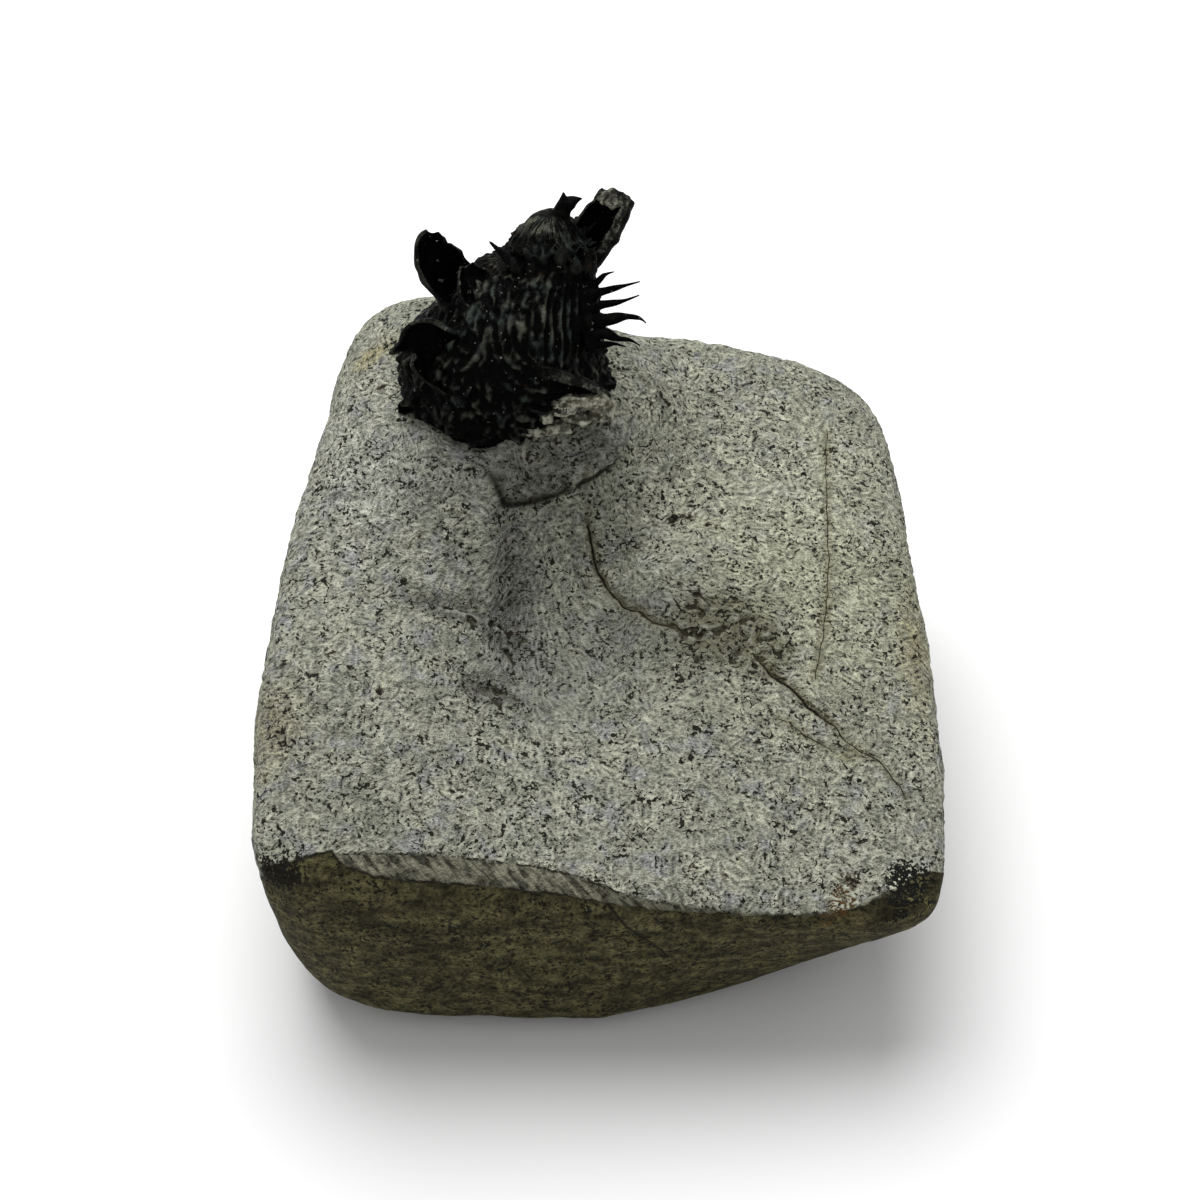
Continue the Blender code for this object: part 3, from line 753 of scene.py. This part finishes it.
# Flutes: crisp on the bulge at the front right and on the back, worn nearly away elsewhere.
swing = around * given["Ribs"] + spot.grain(7.0, 1.0) * 0.9
groove = (swing * math.pi).apply("SINE", swing * math.pi)
rib = 1 - groove * groove
rib = rib.apply("POWER", rib, 0.6)
fine_swing = swing * given["Fine ribs"] * math.pi
fine_rib = fine_swing.apply("SINE", fine_swing)
bulge = spot.patch(*BULGE).eased(0.1, 0.55)
back = spot.apply("DOT_PRODUCT", normal, (0, 1, 0), output=1).eased(0.0, 0.5) * 0.6
fluted = bulge.apply("MAXIMUM", bulge, back)

# Old mouth edges: the rings of the lips, and the curled set of arcs at the front left.
scallop = along + (rib - 0.5) * 0.16 + spot.grain(3.5, 1.0) * 0.5
lines = scallop * given["Growth lines"]
step = 1 - lines.apply("FRACT", lines)
flare = 0.0
for low, high, much in LIPS:
    fade = (high - scallop) / (high - low)
    fade = fade.apply("MAXIMUM", fade, 0.0) * scallop.apply("GREATER_THAN", scallop, low)
    flare = fade * fade * much + flare
rise = spot.apply("DOT_PRODUCT", spot - ARCS_FROM, (0, 0.707, 0.707), output=1)
sideways = spot.apply("DOT_PRODUCT", spot - ARCS_FROM, (1, 0, 0), output=1)
plane = start.node("ShaderNodeCombineXYZ", {}, {0: sideways, 1: rise * 0.85})
reach = plane.apply("LENGTH", plane, output=1) + spot.grain(3.0, 2.0) * 1.4
arcs = (reach / given["Arc spacing"]).apply("FRACT", reach / given["Arc spacing"])
arcs = arcs * arcs * (1 - arcs.eased(0.85, 1.0))
curled = reach.eased(2.6, 4.0) * reach.eased(10.5, 7.5) * (1 - bulge)
curled = curled * sideways.eased(7.0, 3.0) * rise.eased(2.5, -1.0)
front = spot.apply("DOT_PRODUCT", normal, (0, -0.8, 0.6), output=1).eased(0.2, 0.5)
curled = curled * front

# Worn shell between them, in broken folds that run up it, deepest round the foot.
grain_of = start.node("ShaderNodeCombineXYZ", {}, {0: around * 34 + along * 0.9, 1: along * 1.1})
folds = (grain_of + spot.drift(3.0) * 0.8).grain(1.0, 2.0, 0.55)
knobs = spot.grain(1.7, 1.0, 0.5, 2.0)
crease = folds.apply("ABSOLUTE", folds)
knobs = crease * 8 - 0.6 + knobs * 1.6
rough = (1 - fluted) * (1 - curled) * along.eased(8.2, 6.5)
tier = swing * (math.pi / 2) + scallop * 2.6
tier = tier.apply("SINE", tier)
tiers = tier * tier * along.eased(7.2, 7.8) * along.eased(9.6, 8.9)
calm = along.eased(12.4, 11.3) * along.eased(0.2, 0.9)
girth = along.eased(11.5, 4.0) * 0.5 + 0.5
ribbing = flare * 0.6 + fluted + 0.12 + spot.grain(4.0, 1.0, 0.5) * 0.6
height = (rib - 0.4) * given["Rib height"] * ribbing
height = height + fine_rib * given["Fine rib height"]
height = height + step * step * given["Growth line height"] * (rough * 2 + 1)
height = height + arcs * curled * given["Arc height"]
height = height + (knobs * rough + tiers) * given["Knobbliness"]
height = height + crease * along.eased(8.2, 9.2) * given["Dome streaks"]
height = (height + flare * given["Lip flare"] * (0.75 + rib * 0.35)) * girth
height = height * calm - spot.patch(*RECESS) * 1.6
height = height + spot.grain(4.5, 2.0) * given["Unevenness"] * along.eased(12.2, 8.5)
grown = {"Geometry": given["Geometry"], "Offset": normal * height}
end_tree(start, given, start.node("GeometryNodeSetPosition", {}, grown))

black = bpy.data.materials.new("black_calcite")
modifier_with(body, shell_growth, {"Material": black})
body_mesh = finished(body)

# Small hollow scales stand in rows on the old mouth edges at the foot of the dome.
SCALE_ROWS = (  # station, first and last place around the shell, how many
    (9.2, 0.66, 1.0, 4),
    (8.7, 0.6, 1.06, 6),
    (8.1, 0.62, 1.1, 7),
    (8.6, 1.12, 1.3, 3),
)
normals = outward(body_mesh)
roots = []
for station, first, last, many in SCALE_ROWS:
    ring = round(station / at[-1] * (SHELL_RINGS - 1))
    for around in np.linspace(first, last, many) % 1:
        roots.append(ring * SHELL_SIDES + round(around * SHELL_SIDES) % SHELL_SIDES)
row_mesh = bpy.data.meshes.new("scale_rows")
row_mesh.from_pydata((coordinates(body_mesh)[roots] - 0.35 * normals[roots]).tolist(), [], [])
for name, directions in (("aim", normals[roots] + (0, 0, 0.6)), ("behind", -normals[roots])):
    layer = row_mesh.attributes.new(name, "FLOAT_VECTOR", "POINT")
    layer.data.foreach_set("vector", directions.astype(np.float32).ravel())

scale_mesh = bpy.data.meshes.new("scale")
corners, faces = [], []
for reach, width, depth in ((0, 1.1, 0.8), (0.9, 0.85, 0.6), (1.7, 0.45, 0.3), (2.3, 0.12, 0.08)):
    for inner in (0, 1):
        for angle in np.linspace(0.15, math.pi - 0.15, 7)[:: 1 - 2 * inner]:
            shrink = inner * min(0.26, 0.4 * width)
            across = math.cos(angle) * (width - shrink)
            corners.append((across, math.sin(angle) * (depth - shrink) - 0.3, reach))
sides = 14
faces = tube_faces(4, sides)[:-2]
for row in (0, 3 * sides):
    faces += [(row + k, row + k + 1, row + sides - 2 - k, row + sides - 1 - k) for k in range(6)]
scale_mesh.from_pydata(corners, [], faces)
face_outwards(scale_mesh)
scale = set_out("scale", scale_mesh)
rows_of_scales = set_out("scale_rows", row_mesh)

scale_sizes = {"Scale": None, "Smallest": 0.8, "Largest": 1.4, "Seed": 7}
scale_rows, start, given = tree_with("scale_rows", scale_sizes)
directions = {"data_type": "FLOAT_VECTOR"}
aimed = start.node("GeometryNodeInputNamedAttribute", directions, {"Name": "aim"})
behind = start.node("GeometryNodeInputNamedAttribute", directions, {"Name": "behind"})
axes = {"primary_axis": "Z", "secondary_axis": "Y"}
facing = start.node("FunctionNodeAxesToRotation", axes, {0: aimed, 1: behind})
limits = {2: given["Smallest"], 3: given["Largest"], "Seed": given["Seed"]}
some = start.node("FunctionNodeRandomValue", {"data_type": "FLOAT"}, limits, 1)
one = start.node("GeometryNodeObjectInfo", {}, {"Object": given["Scale"]}, "Geometry")
stood = {"Points": given["Geometry"], "Instance": one, "Rotation": facing, "Scale": some}
end_tree(start, given, start.node("GeometryNodeInstanceOnPoints", {}, stood))
modifier_with(rows_of_scales, scale_rows, {"Scale": scale, "Material": black})
scales_mesh = finished(rows_of_scales)

# The hollow horns. Each has stations (x, y, z, width, hollow depth) from root to tip, the
# direction that its broken side faces, how far its walls curl in past a half tube, how thick its
# two broken margins are, how ragged it is, and how pale each margin is.
HORNS = (
    (  # left
        (
            (-3.0, 0.8, 14.0, 6.6, 2.4),
            (-6.0, 1.5, 18.3, 7.0, 2.8),
            (-8.2, 2.2, 21.6, 6.8, 2.6),
            (-9.2, 3.0, 24.0, 5.2, 2.0),
            (-8.8, 3.9, 26.0, 2.4, 0.9),
        ),
        (0.1, -0.7, 0.7),
        0.2,
        (0.35, 0.6),
        0.1,
        (0.2, 0.25),
    ),
    (  # right
        (
            (9.4, 5.4, 18.2, 6.0, 2.6),
            (12.2, 6.5, 21.7, 6.6, 2.8),
            (14.0, 7.6, 24.2, 6.5, 2.7),
            (15.6, 8.8, 26.4, 5.8, 2.4),
            (16.6, 10.0, 28.3, 4.8, 1.8),
        ),
        (-0.25, -0.7, 0.66),
        0.3,
        (1.8, 0.4),
        0.12,
        (0.6, 0.3),
    ),
    (  # lower left
        (
            (-1.5, -5.4, 7.0, 9.0, 2.4),
            (-6.6, -6.8, 11.2, 9.2, 3.0),
            (-10.9, -6.7, 15.1, 6.4, 2.3),
            (-13.4, -7.1, 14.3, 1.9, 1.3),
            (-15.6, -7.3, 13.2, 0.5, 0.4),
        ),
        (0.15, -0.8, 0.55),
        0.15,
        (0.7, 0.4),
        0.12,
        (0.35, 0.0),
    ),
    (  # lower right
        (
            (2.6, -8.0, 8.4, 7.0, 2.6),
            (6.1, -9.6, 8.8, 7.0, 2.8),
            (9.5, -9.4, 8.0, 5.8, 2.4),
            (13.0, -8.4, 6.2, 4.2, 1.8),
            (15.5, -7.4, 4.8, 2.0, 0.9),
        ),
        (0.1, -0.8, 0.35),
        0.15,
        (0.5, 2.6),
        0.08,
        (0.3, 0.6),
    ),
    (  # small one beside the left horn's root
        (
            (-0.4, -1.6, 16.4, 5.0, 1.4),
            (-2.2, -1.2, 18.6, 6.0, 1.8),
            (-3.6, -0.2, 21.0, 4.8, 1.5),
            (-4.6, 1.0, 22.8, 1.6, 0.6),
        ),
        (0.3, -0.75, 0.6),
        0.1,
        (0.4, 0.45),
        0.15,
        (0.2, 0.55),
    ),
    (  # stub low on the left side
        (
            (-11.0, -5.6, 2.4, 3.4, 1.2),
            (-13.0, -6.6, 3.0, 3.2, 1.2),
            (-14.4, -7.2, 3.2, 2.6, 0.9),
        ),
        (-0.4, -0.75, -0.1),
        0.5,
        (0.45, 0.45),
        0.1,
        (0.4, 0.4),
    ),
)
HORN_STEPS, HORN_ARC, MARGIN_ROWS = 34, 24, 3


def horn(stations, facing, curl, margins, ragged, pale, seed):
    """A closed gutter-shaped wall: corners, faces, and what the skin at each corner is."""
    rand = np.random.default_rng(seed)
    waves = rand.uniform(0, 2 * math.pi, 6)
    last = len(stations) - 1

    def at_angle(angle):
        uneven = sum(math.sin((k + 2) * angle + waves[k]) for k in range(3)) / 3
        number = np.linspace(0, last * (1 - ragged * (0.5 + 0.5 * uneven)), HORN_STEPS)
        path = smooth_through(np.array(stations), number)
        run = np.gradient(path[:, :3], axis=0)
        run /= np.linalg.norm(run, axis=1)[:, None]
        side = np.cross(run, facing)
        side /= np.linalg.norm(side, axis=1)[:, None]
        wobble = 1 + 0.03 * np.sin(4 * number + waves[3] + 2 * angle) + 0.015 * np.sin(11 * number)
        return path, side * wobble[:, None], np.cross(side, run) * wobble[:, None], number

    def corner(angle, inner):
        path, side, out, number = at_angle(angle)
        share = (1 + math.cos(angle)) / 2
        wall = margins[0] * share + margins[1] * (1 - share)
        half, hollow = path[:, 3:4] / 2, path[:, 4:5]
        shrink = inner * np.minimum(wall, 0.6 * half)
        ripple = 0.07 * math.sin(7 * angle) + 0.1 * np.sin(7 * number[:, None] + 5 * angle)
        across = side * math.cos(angle) * (half - shrink + ripple)
        return path[:, :3] + across - out * math.sin(angle) * (hollow - shrink * 0.7 + ripple)

    angles = np.linspace(-curl, math.pi + curl, HORN_ARC)
    mid = [(k + 1) / (MARGIN_ROWS + 1) for k in range(MARGIN_ROWS)]
    columns = [(corner(a, 0), 0, 0) for a in angles]
    columns += [(corner(angles[-1], m), 0, pale[1]) for m in mid]
    columns += [(corner(a, 1), 1, 0) for a in angles[::-1]]
    columns += [(corner(angles[0], 1 - m), 0, pale[0]) for m in mid]
    sides = len(columns)
    corners = np.stack([c for c, lining, broken in columns], 1).reshape(-1, 3) + SEAT
    lining = np.tile([lining for c, lining, broken in columns], HORN_STEPS)
    to_tip = np.linspace(0.2, 1, HORN_STEPS)
    broken = np.outer(to_tip, [broken for c, lining, broken in columns]).ravel()
    faces = tube_faces(HORN_STEPS, sides)[:-2]
    for row in (0, (HORN_STEPS - 1) * sides):
        faces.append([row + k for k in range(sides)])
    broken[-sides:] = max(pale)
    return corners, faces, lining, broken


COIL = np.array(  # x, y, z, radius: the oldest whorl, curling back and down inside the dome
    [
        (6.8, 6.0, 21.0, 4.2),
        (6.8, 9.4, 18.6, 5.0),
        (6.7, 12.2, 15.6, 4.3),
        (6.5, 13.6, 12.4, 3.4),
        (6.3, 13.4, 9.4, 2.5),
        (6.2, 12.0, 7.2, 1.4),
    ]
)


def spike(path, radii, sides, ridges=0.0, waves=0.0):
    """A closed tapering spine or whorl along a path of points, given its radius at each."""
    number = np.linspace(0, len(path) - 1, 8 * len(path))
    line = smooth_through(np.column_stack((path, radii)), number)
    along = np.gradient(line[:, :3], axis=0)
    along /= np.linalg.norm(along, axis=1)[:, None]
    first = np.cross(along, (0.31, 0.5, 0.81))
    first /= np.linalg.norm(first, axis=1)[:, None]
    second = np.cross(along, first)
    swell = 1 + waves * np.sin(5.1 * number + line[0, 0])[:, None]
    rings = []
    for k in range(sides):
        angle = 2 * math.pi * k / sides
        girth = np.maximum(line[:, 3:4], 0.03) * (1 + ridges * math.cos(6 * angle)) * swell
        rings.append(line[:, :3] + (first * math.cos(angle) + second * math.sin(angle)) * girth)
    return np.stack(rings, 1).reshape(-1, 3) + SEAT, tube_faces(len(number), sides)


def crumb(centre, size, seed):
    """A lump of the block's own stone, caught in a horn."""
    lump = bmesh.new()
    bmesh.ops.create_icosphere(lump, subdivisions=4, radius=1)
    rand = np.random.default_rng(seed).uniform(0, 6.28, 3)
    for vert in lump.verts:
        swell = 1 + 0.16 * sum(math.sin(3.3 * vert.co[k] + rand[k]) for k in range(3))
        swell += 0.1 * sum(math.sin(7.7 * vert.co[k] + rand[-1 - k]) for k in range(3))
        vert.co = SEAT + Vector(centre) + vert.co * Vector(size) * swell
    corners = np.array([vert.co for vert in lump.verts])
    faces = [[vert.index for vert in face.verts] for face in lump.faces]
    lump.free()
    return corners, faces


# Every part of the shell, and whether its skin is shell (0, 0), a hollow's lining (1, 0), or how
# far it is pale broken stone (0, 1).
parts = []
for mesh in (body_mesh, scales_mesh):
    parts.append((coordinates(mesh), [tuple(face.vertices) for face in mesh.polygons], 0, 0))
for seed, values in enumerate(HORNS):
    parts.append(horn(*values, seed))
parts.append((*spike(COIL[:, :3], COIL[:, 3], 48, 0.02), 0, 0))
BROAD_SPINES = (  # points along each stout spine or ridge, its radius at each, how dark it is
    (((4.0, 1.4, 19.4), (1.6, 1.5, 22.6), (-1.3, 2.0, 25.7)), (1.5, 0.85, 0.15), 0.7),
    (((8.2, 6.9, 23.8), (8.7, 7.4, 26.8), (9.0, 8.0, 29.6)), (2.3, 1.15, 0.2), 0.8),
    (((8.6, 7.5, 26.2), (10.0, 7.5, 28.2), (11.6, 7.6, 28.8)), (1.2, 0.85, 0.15), 0.8),
    (
        ((10.0, 1.8, 19.6), (11.6, 0.2, 17.4), (12.4, -2.0, 14.6), (12.8, -3.4, 11.6)),
        (0.8, 1.2, 1.3, 0.8),
        0.9,
    ),
    (((-5.2, 8.0, 8.2), (-7.0, 11.4, 10.2), (-8.6, 14.0, 11.5)), (1.8, 1.0, 0.3), 0),
    (((3.0, 9.6, 8.8), (3.2, 13.4, 9.2), (3.4, 16.0, 9.4)), (1.8, 1.0, 0.3), 0),
    (((9.0, 7.8, 9.0), (11.4, 10.8, 10.2), (13.2, 13.0, 11.0)), (1.7, 1.0, 0.3), 0),
    (((2.6, 0.9, 21.0), (2.3, 0.7, 22.4), (2.0, 0.8, 23.9)), (0.9, 0.7, 0.12), 0.2),
    (((4.6, 0.9, 21.5), (4.4, 0.8, 23.3), (3.9, 1.0, 25.2)), (1.1, 0.85, 0.12), 0.1),
    (((6.3, 0.9, 21.8), (6.3, 0.6, 23.2), (6.1, 0.7, 24.6)), (1.0, 0.8, 0.12), 0.0),
    (((8.2, 0.9, 21.8), (8.6, 0.9, 24.0), (9.1, 1.6, 26.2)), (1.1, 0.95, 0.14), 0.0),
    (((10.4, 1.5, 20.8), (10.7, 1.3, 22.3), (10.6, 1.4, 23.6)), (1.1, 0.85, 0.12), 0.1),
    (((11.8, 2.2, 20.8), (12.1, 2.2, 22.8), (11.9, 2.4, 24.6)), (1.0, 0.75, 0.12), 0.1),
    (((12.7, 2.7, 20.0), (13.0, 2.6, 21.8), (13.3, 2.7, 23.6)), (0.9, 0.65, 0.12), 0.1),
)
for path, radii, dark in BROAD_SPINES:
    parts.append((*spike(path, radii, 20, 0.03, 0.12), dark, 0))
CRUMBS = (  # middle, half sizes and paleness of each lump of stone
    ((11.6, -9.0, 5.6), (2.2, 1.2, 1.3), 1.0),
    ((9.2, -9.8, 5.2), (1.6, 1.0, 1.2), 0.85),
    ((13.6, -8.2, 4.2), (2.2, 1.6, 1.6), 1.0),
    ((15.0, -7.6, 2.6), (1.6, 1.4, 1.5), 0.95),
    ((11.0, -9.6, 3.4), (1.9, 1.3, 1.0), 0.8),
    ((8.2, -10.2, 2.6), (1.8, 1.1, 0.8), 0.9),
    ((5.6, -10.8, 2.0), (1.7, 0.7, 0.6), 0.75),
    ((6.6, -10.6, 4.4), (0.9, 0.7, 1.0), 0.9),
    ((15.9, 9.6, 27.2), (2.0, 1.3, 1.3), 0.7),
    ((-3.0, -0.4, 18.6), (1.2, 0.9, 0.8), 0.5),
)
for seed, (centre, size, pale) in enumerate(CRUMBS):
    parts.append((*crumb(centre, size, seed), 0, pale))


def as_one_mesh(name, pieces):
    corners, faces, count = [], [], 0
    for some, their_faces, *rest in pieces:
        corners += some.tolist()
        faces += [tuple(i + count for i in f) for f in their_faces]
        count += len(some)
    mesh = bpy.data.meshes.new(name)
    mesh.from_pydata(corners, [], faces)
    face_outwards(mesh)
    return mesh


sources = as_one_mesh("shell_parts", parts)
shell = set_out("spiny_shell", sources)
shell_mesh = one_skin(shell, SHELL_VOXEL)
points = coordinates(shell_mesh)
for again in range(2):
    points += 0.5 * (neighbour_mean(shell_mesh, points) - points)

# What each corner of the joined skin is, from the nearest corner of the part that made it.
was = np.concatenate([part[0] for part in parts])
lining = np.concatenate([np.broadcast_to(part[2], len(part[0])) for part in parts])
broken = np.concatenate([np.broadcast_to(part[3], len(part[0])) for part in parts])
grown = {}
for name in ("along", "around"):
    values = np.zeros(len(was), np.float32)
    kept = np.empty(len(body_mesh.vertices), np.float32)
    body_mesh.attributes[name].data.foreach_get("value", kept)
    values[: len(kept)] = kept
    grown[name] = values
tree = KDTree(len(was))
for i, corner in enumerate(was):
    tree.insert(corner, i)
tree.balance()
nearest = [tree.find(point)[1] for point in points]
store(shell_mesh, "hollow", lining[nearest])
store(shell_mesh, "broken", broken[nearest])
for name, values in grown.items():
    store(shell_mesh, name, values[nearest])

place(shell_mesh, points)
store(shell_mesh, "crest", crests(shell_mesh, points, 10))
place(shell_mesh, points * MM)

NEEDLES = (  # points along each needle, from the ridge on the shell's right side
    (((11.0, 1.6, 18.0), (13.2, 0.8, 19.2), (14.6, 0.2, 21.2), (15.9, -0.1, 22.0)), 1.0),
    (((11.4, 0.6, 17.2), (13.8, -0.1, 18.4), (16.8, -0.6, 19.8), (19.5, -1.0, 21.0)), 1.1),
    (((11.8, -0.4, 15.8), (14.0, -1.1, 17.0), (16.9, -1.6, 18.0), (19.4, -2.0, 19.4)), 1.1),
    (
        ((12.2, -1.4, 14.6), (14.6, -2.2, 15.2), (17.4, -2.8, 16.3), (19.4, -3.0, 16.2), (20.4, -3.1, 15.4)),
        1.1,
    ),
    (
        ((12.2, -2.4, 13.0), (14.4, -3.1, 13.7), (16.4, -3.7, 13.2), (18.2, -4.0, 13.1), (19.6, -4.1, 12.2)),
        1.0,
    ),
    (((12.4, -3.2, 12.2), (14.2, -3.9, 12.2), (16.0, -4.2, 12.6), (17.6, -4.5, 12.3)), 0.9),
)
needles = []
for path, girth in NEEDLES:
    radii = np.interp(np.linspace(0, 3, len(path)), range(4), (1.7, 0.7, 0.3, 0.08)) * girth
    corners, faces = spike(path, radii, 12, 0.0, 0.1)
    needles.append((corners * MM, faces))
needle_mesh = as_one_mesh("needles", needles)
store(needle_mesh, "hollow", np.full(len(needle_mesh.vertices), 0.75))
join = bmesh.new()
join.from_mesh(shell_mesh)
join.from_mesh(needle_mesh)
join.to_mesh(shell_mesh)
join.free()
for spent in (body, scale, rows_of_scales):
    bpy.data.objects.remove(spent)
shell_mesh.shade_smooth()

# Black calcite: black in its grooves, with painted highlights of dull grey-green and a pale pearly sheen on
# its crests, and real wear in streaks that follow its growth; with a few pale crumbs, rust, and pale stone
# where it is broken.
DOME_HIGHLIGHT = ((-7.4, 30.0, 83.5), (6.0, 6.0, 4.5))
FLUTE_HIGHLIGHTS = (((-20.5, 19.0, 74.0), (3.6, 3.5, 3.2)), ((-4.5, 18.0, 75.5), (5.0, 6.0, 4.5)))
GROOVE_BLACK, LINING_BLACK = (0.0015, 0.0015, 0.0014), (0.001, 0.001, 0.001)
CREST_HIGHLIGHT_GREEN, PEARLY_SHEEN = ((0.038, 0.048, 0.043), (0.078, 0.08, 0.062)), (0.17, 0.175, 0.155)
RUST, PALE_SPECK, RUSSET = (0.03, 0.014, 0.006), (0.17, 0.175, 0.15), (0.08, 0.05, 0.024)
BROKEN_SHELL = ((0.01, 0.011, 0.009), (0.13, 0.132, 0.108))
HELD_STONE, HELD_STONE_PALE = ((0.05, 0.046, 0.032), (0.2, 0.195, 0.15)), (0.4, 0.395, 0.32)
black.use_nodes = True
surface = black.node_tree.nodes["Principled BSDF"]
start = Term(black.node_tree)
place_mm = start.node("ShaderNodeTexCoord", output="Object") * 1000
read = {}
for name in ("crest", "hollow", "broken", "along", "around"):
    read[name] = start.node("ShaderNodeAttribute", {"attribute_name": name}, output="Fac")
grown = {0: read["around"] * 46, 1: read["along"] * 0.8}
streaks = start.node("ShaderNodeCombineXYZ", {}, grown).grain(1.0, 2.0, 0.6)
blotch = place_mm.grain(2.6, 3.0, 0.6)
# Painted highlights and real wear: the crests are made grey-green and the grooves stay black, mixed with
# blotches and growth streaks.
wear_and_highlight = (read["crest"] * 1.7 + blotch * 1.3 + streaks * 1.1).eased(-0.02, 0.6)
# Painted highlights where the light catches the dome and the fluted bulge, mixed with the blotches and
# streaks.
dome = place_mm.patch(*DOME_HIGHLIGHT) * 0.5
wear_and_highlight = wear_and_highlight + (blotch + streaks * 1.4).eased(-0.05, 0.3) * dome
for centre, spread in FLUTE_HIGHLIGHTS:
    flute_highlight = place_mm.patch(centre, spread) * 0.7
    wear_and_highlight = wear_and_highlight + (blotch + streaks * 1.2 + read["crest"]).eased(0.0, 0.35) * flute_highlight
wear_and_highlight = wear_and_highlight * (read["along"].eased(-1.0, 4.5) * 0.6 + 0.4)
tint = place_mm.grain(3.0, 1.0, 0.5, 3.0).eased(-0.12, 0.12)
tint = tint.between(*CREST_HIGHLIGHT_GREEN)
# Painted sheen: a pale pearly tone on the crests and streaks.
painted_sheen = (streaks + read["crest"]).eased(0.25, 0.5) * blotch.eased(0.0, 0.15)
tint = painted_sheen.between(tint, PEARLY_SHEEN)
body_tone = wear_and_highlight.between(GROOVE_BLACK, tint)
rust = place_mm.grain(1.6, 2.0, 0.5, 6.0).eased(0.17, 0.27) * 0.6
body_tone = rust.between(body_tone, RUST)
# Painted shade: inside the horns' hollows the shell is made black over its highlights and rust; the spines
# marked dark are made black the same way.
body_tone = (read["hollow"] * 0.92).between(body_tone, LINING_BLACK)
speck = place_mm.grain(0.6, 1.0, 0.5, 9.0).eased(0.22, 0.28)
body_tone = (speck * 0.75).between(body_tone, PALE_SPECK)
curd = place_mm.grain(0.8, 3.0, 0.65, 4.0)
cut_tone = (blotch + curd).eased(-0.12, 0.22).between(*BROKEN_SHELL)
body_tone = read["broken"].eased(0.1, 0.45).between(body_tone, cut_tone)
stone_tone = (curd + read["crest"]).eased(-0.14, 0.1).between(*HELD_STONE)
stone_tone = (curd + blotch + read["crest"]).eased(0.05, 0.22).between(stone_tone, HELD_STONE_PALE)
russet = place_mm.grain(1.5, 2.0, 0.5, 5.0).eased(0.14, 0.28) * 0.6
stone_tone = russet.between(stone_tone, RUSSET)
shown = (read["broken"] + blotch * 0.8).eased(0.6, 0.95)
body_tone = shown.between(body_tone, stone_tone)
black.node_tree.links.new(body_tone.socket, surface.inputs["Base Color"])
gloss = blotch.eased(-0.15, 0.2) * 0.3 + 0.4 + read["broken"] * 0.3
black.node_tree.links.new(gloss.socket, surface.inputs["Roughness"])
surface.inputs["Specular IOR Level"].default_value = 0.025
tooth = place_mm.grain(0.35, 2.0, 0.6) + place_mm.grain(1.1, 2.0, 0.6) * 1.4
bump = start.node("ShaderNodeBump", {}, {"Height": tooth, "Distance": 0.0003, "Strength": 0.8})
black.node_tree.links.new(bump.socket, surface.inputs["Normal"])
fewer_faces(shell, SHELL_TRIANGLES)
shell_mesh = finished(shell)
shell_mesh.validate()
shell_mesh.shade_smooth()
shell_mesh.materials.clear()
shell_mesh.materials.append(black)
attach(shell, "root")
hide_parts("fossil_shell")


# ---- Studio ----
# A pale plain floor, one broad soft light above and behind the block's left, and a weak white
# sky. The camera looks down on the block's front at 45 degrees.

sheet = bmesh.new()
bmesh.ops.create_grid(sheet, x_segments=1, y_segments=1, size=3.0)
floor_mesh = bpy.data.meshes.new("floor")
sheet.to_mesh(floor_mesh)
sheet.free()
floor = set_out("floor", floor_mesh)
pale = bpy.data.materials.new("pale_floor")
pale.use_nodes = True
surface = pale.node_tree.nodes["Principled BSDF"]
surface.inputs["Base Color"].default_value = (0.9, 0.9, 0.9, 1)
surface.inputs["Roughness"].default_value = 0.9
floor_mesh.materials.append(pale)

sky = bpy.data.worlds.new("studio_sky")
sky.use_nodes = True
white = sky.node_tree.nodes["Background"]
white.inputs["Color"].default_value = (1, 1, 1, 1)
white.inputs["Strength"].default_value = 0.52
bpy.context.scene.world = sky
bpy.context.scene.view_settings.view_transform = "Standard"


LIGHT_PLACE, LIGHT_AIM = Vector((-0.14, 0.36, 0.85)), Vector((0, 0, 0.04))
light = bpy.data.lights.new("window", "AREA")
light.shape = "DISK"
light.size = 0.9
light.energy = 9.6
lamp = set_out("window", light)
lamp.location = LIGHT_PLACE
lamp.rotation_mode = "QUATERNION"
lamp.rotation_quaternion = (LIGHT_PLACE - LIGHT_AIM).to_track_quat("Z", "Y")

VIEW_CENTRE, VIEW_DISTANCE, VIEW_RISE = Vector((-0.0004, 0.0016, 0.0384)), 0.359, math.radians(45)
eye = Vector((0, -math.cos(VIEW_RISE), math.sin(VIEW_RISE)))
camera = set_out("camera", bpy.data.cameras.new("camera"))
camera.data.lens = 75
camera.data.sensor_width = 36
camera.data.clip_start = 0.01
camera.location = VIEW_CENTRE + eye * VIEW_DISTANCE
camera.rotation_mode = "QUATERNION"
camera.rotation_quaternion = eye.to_track_quat("Z", "Y")
bpy.context.scene.camera = camera
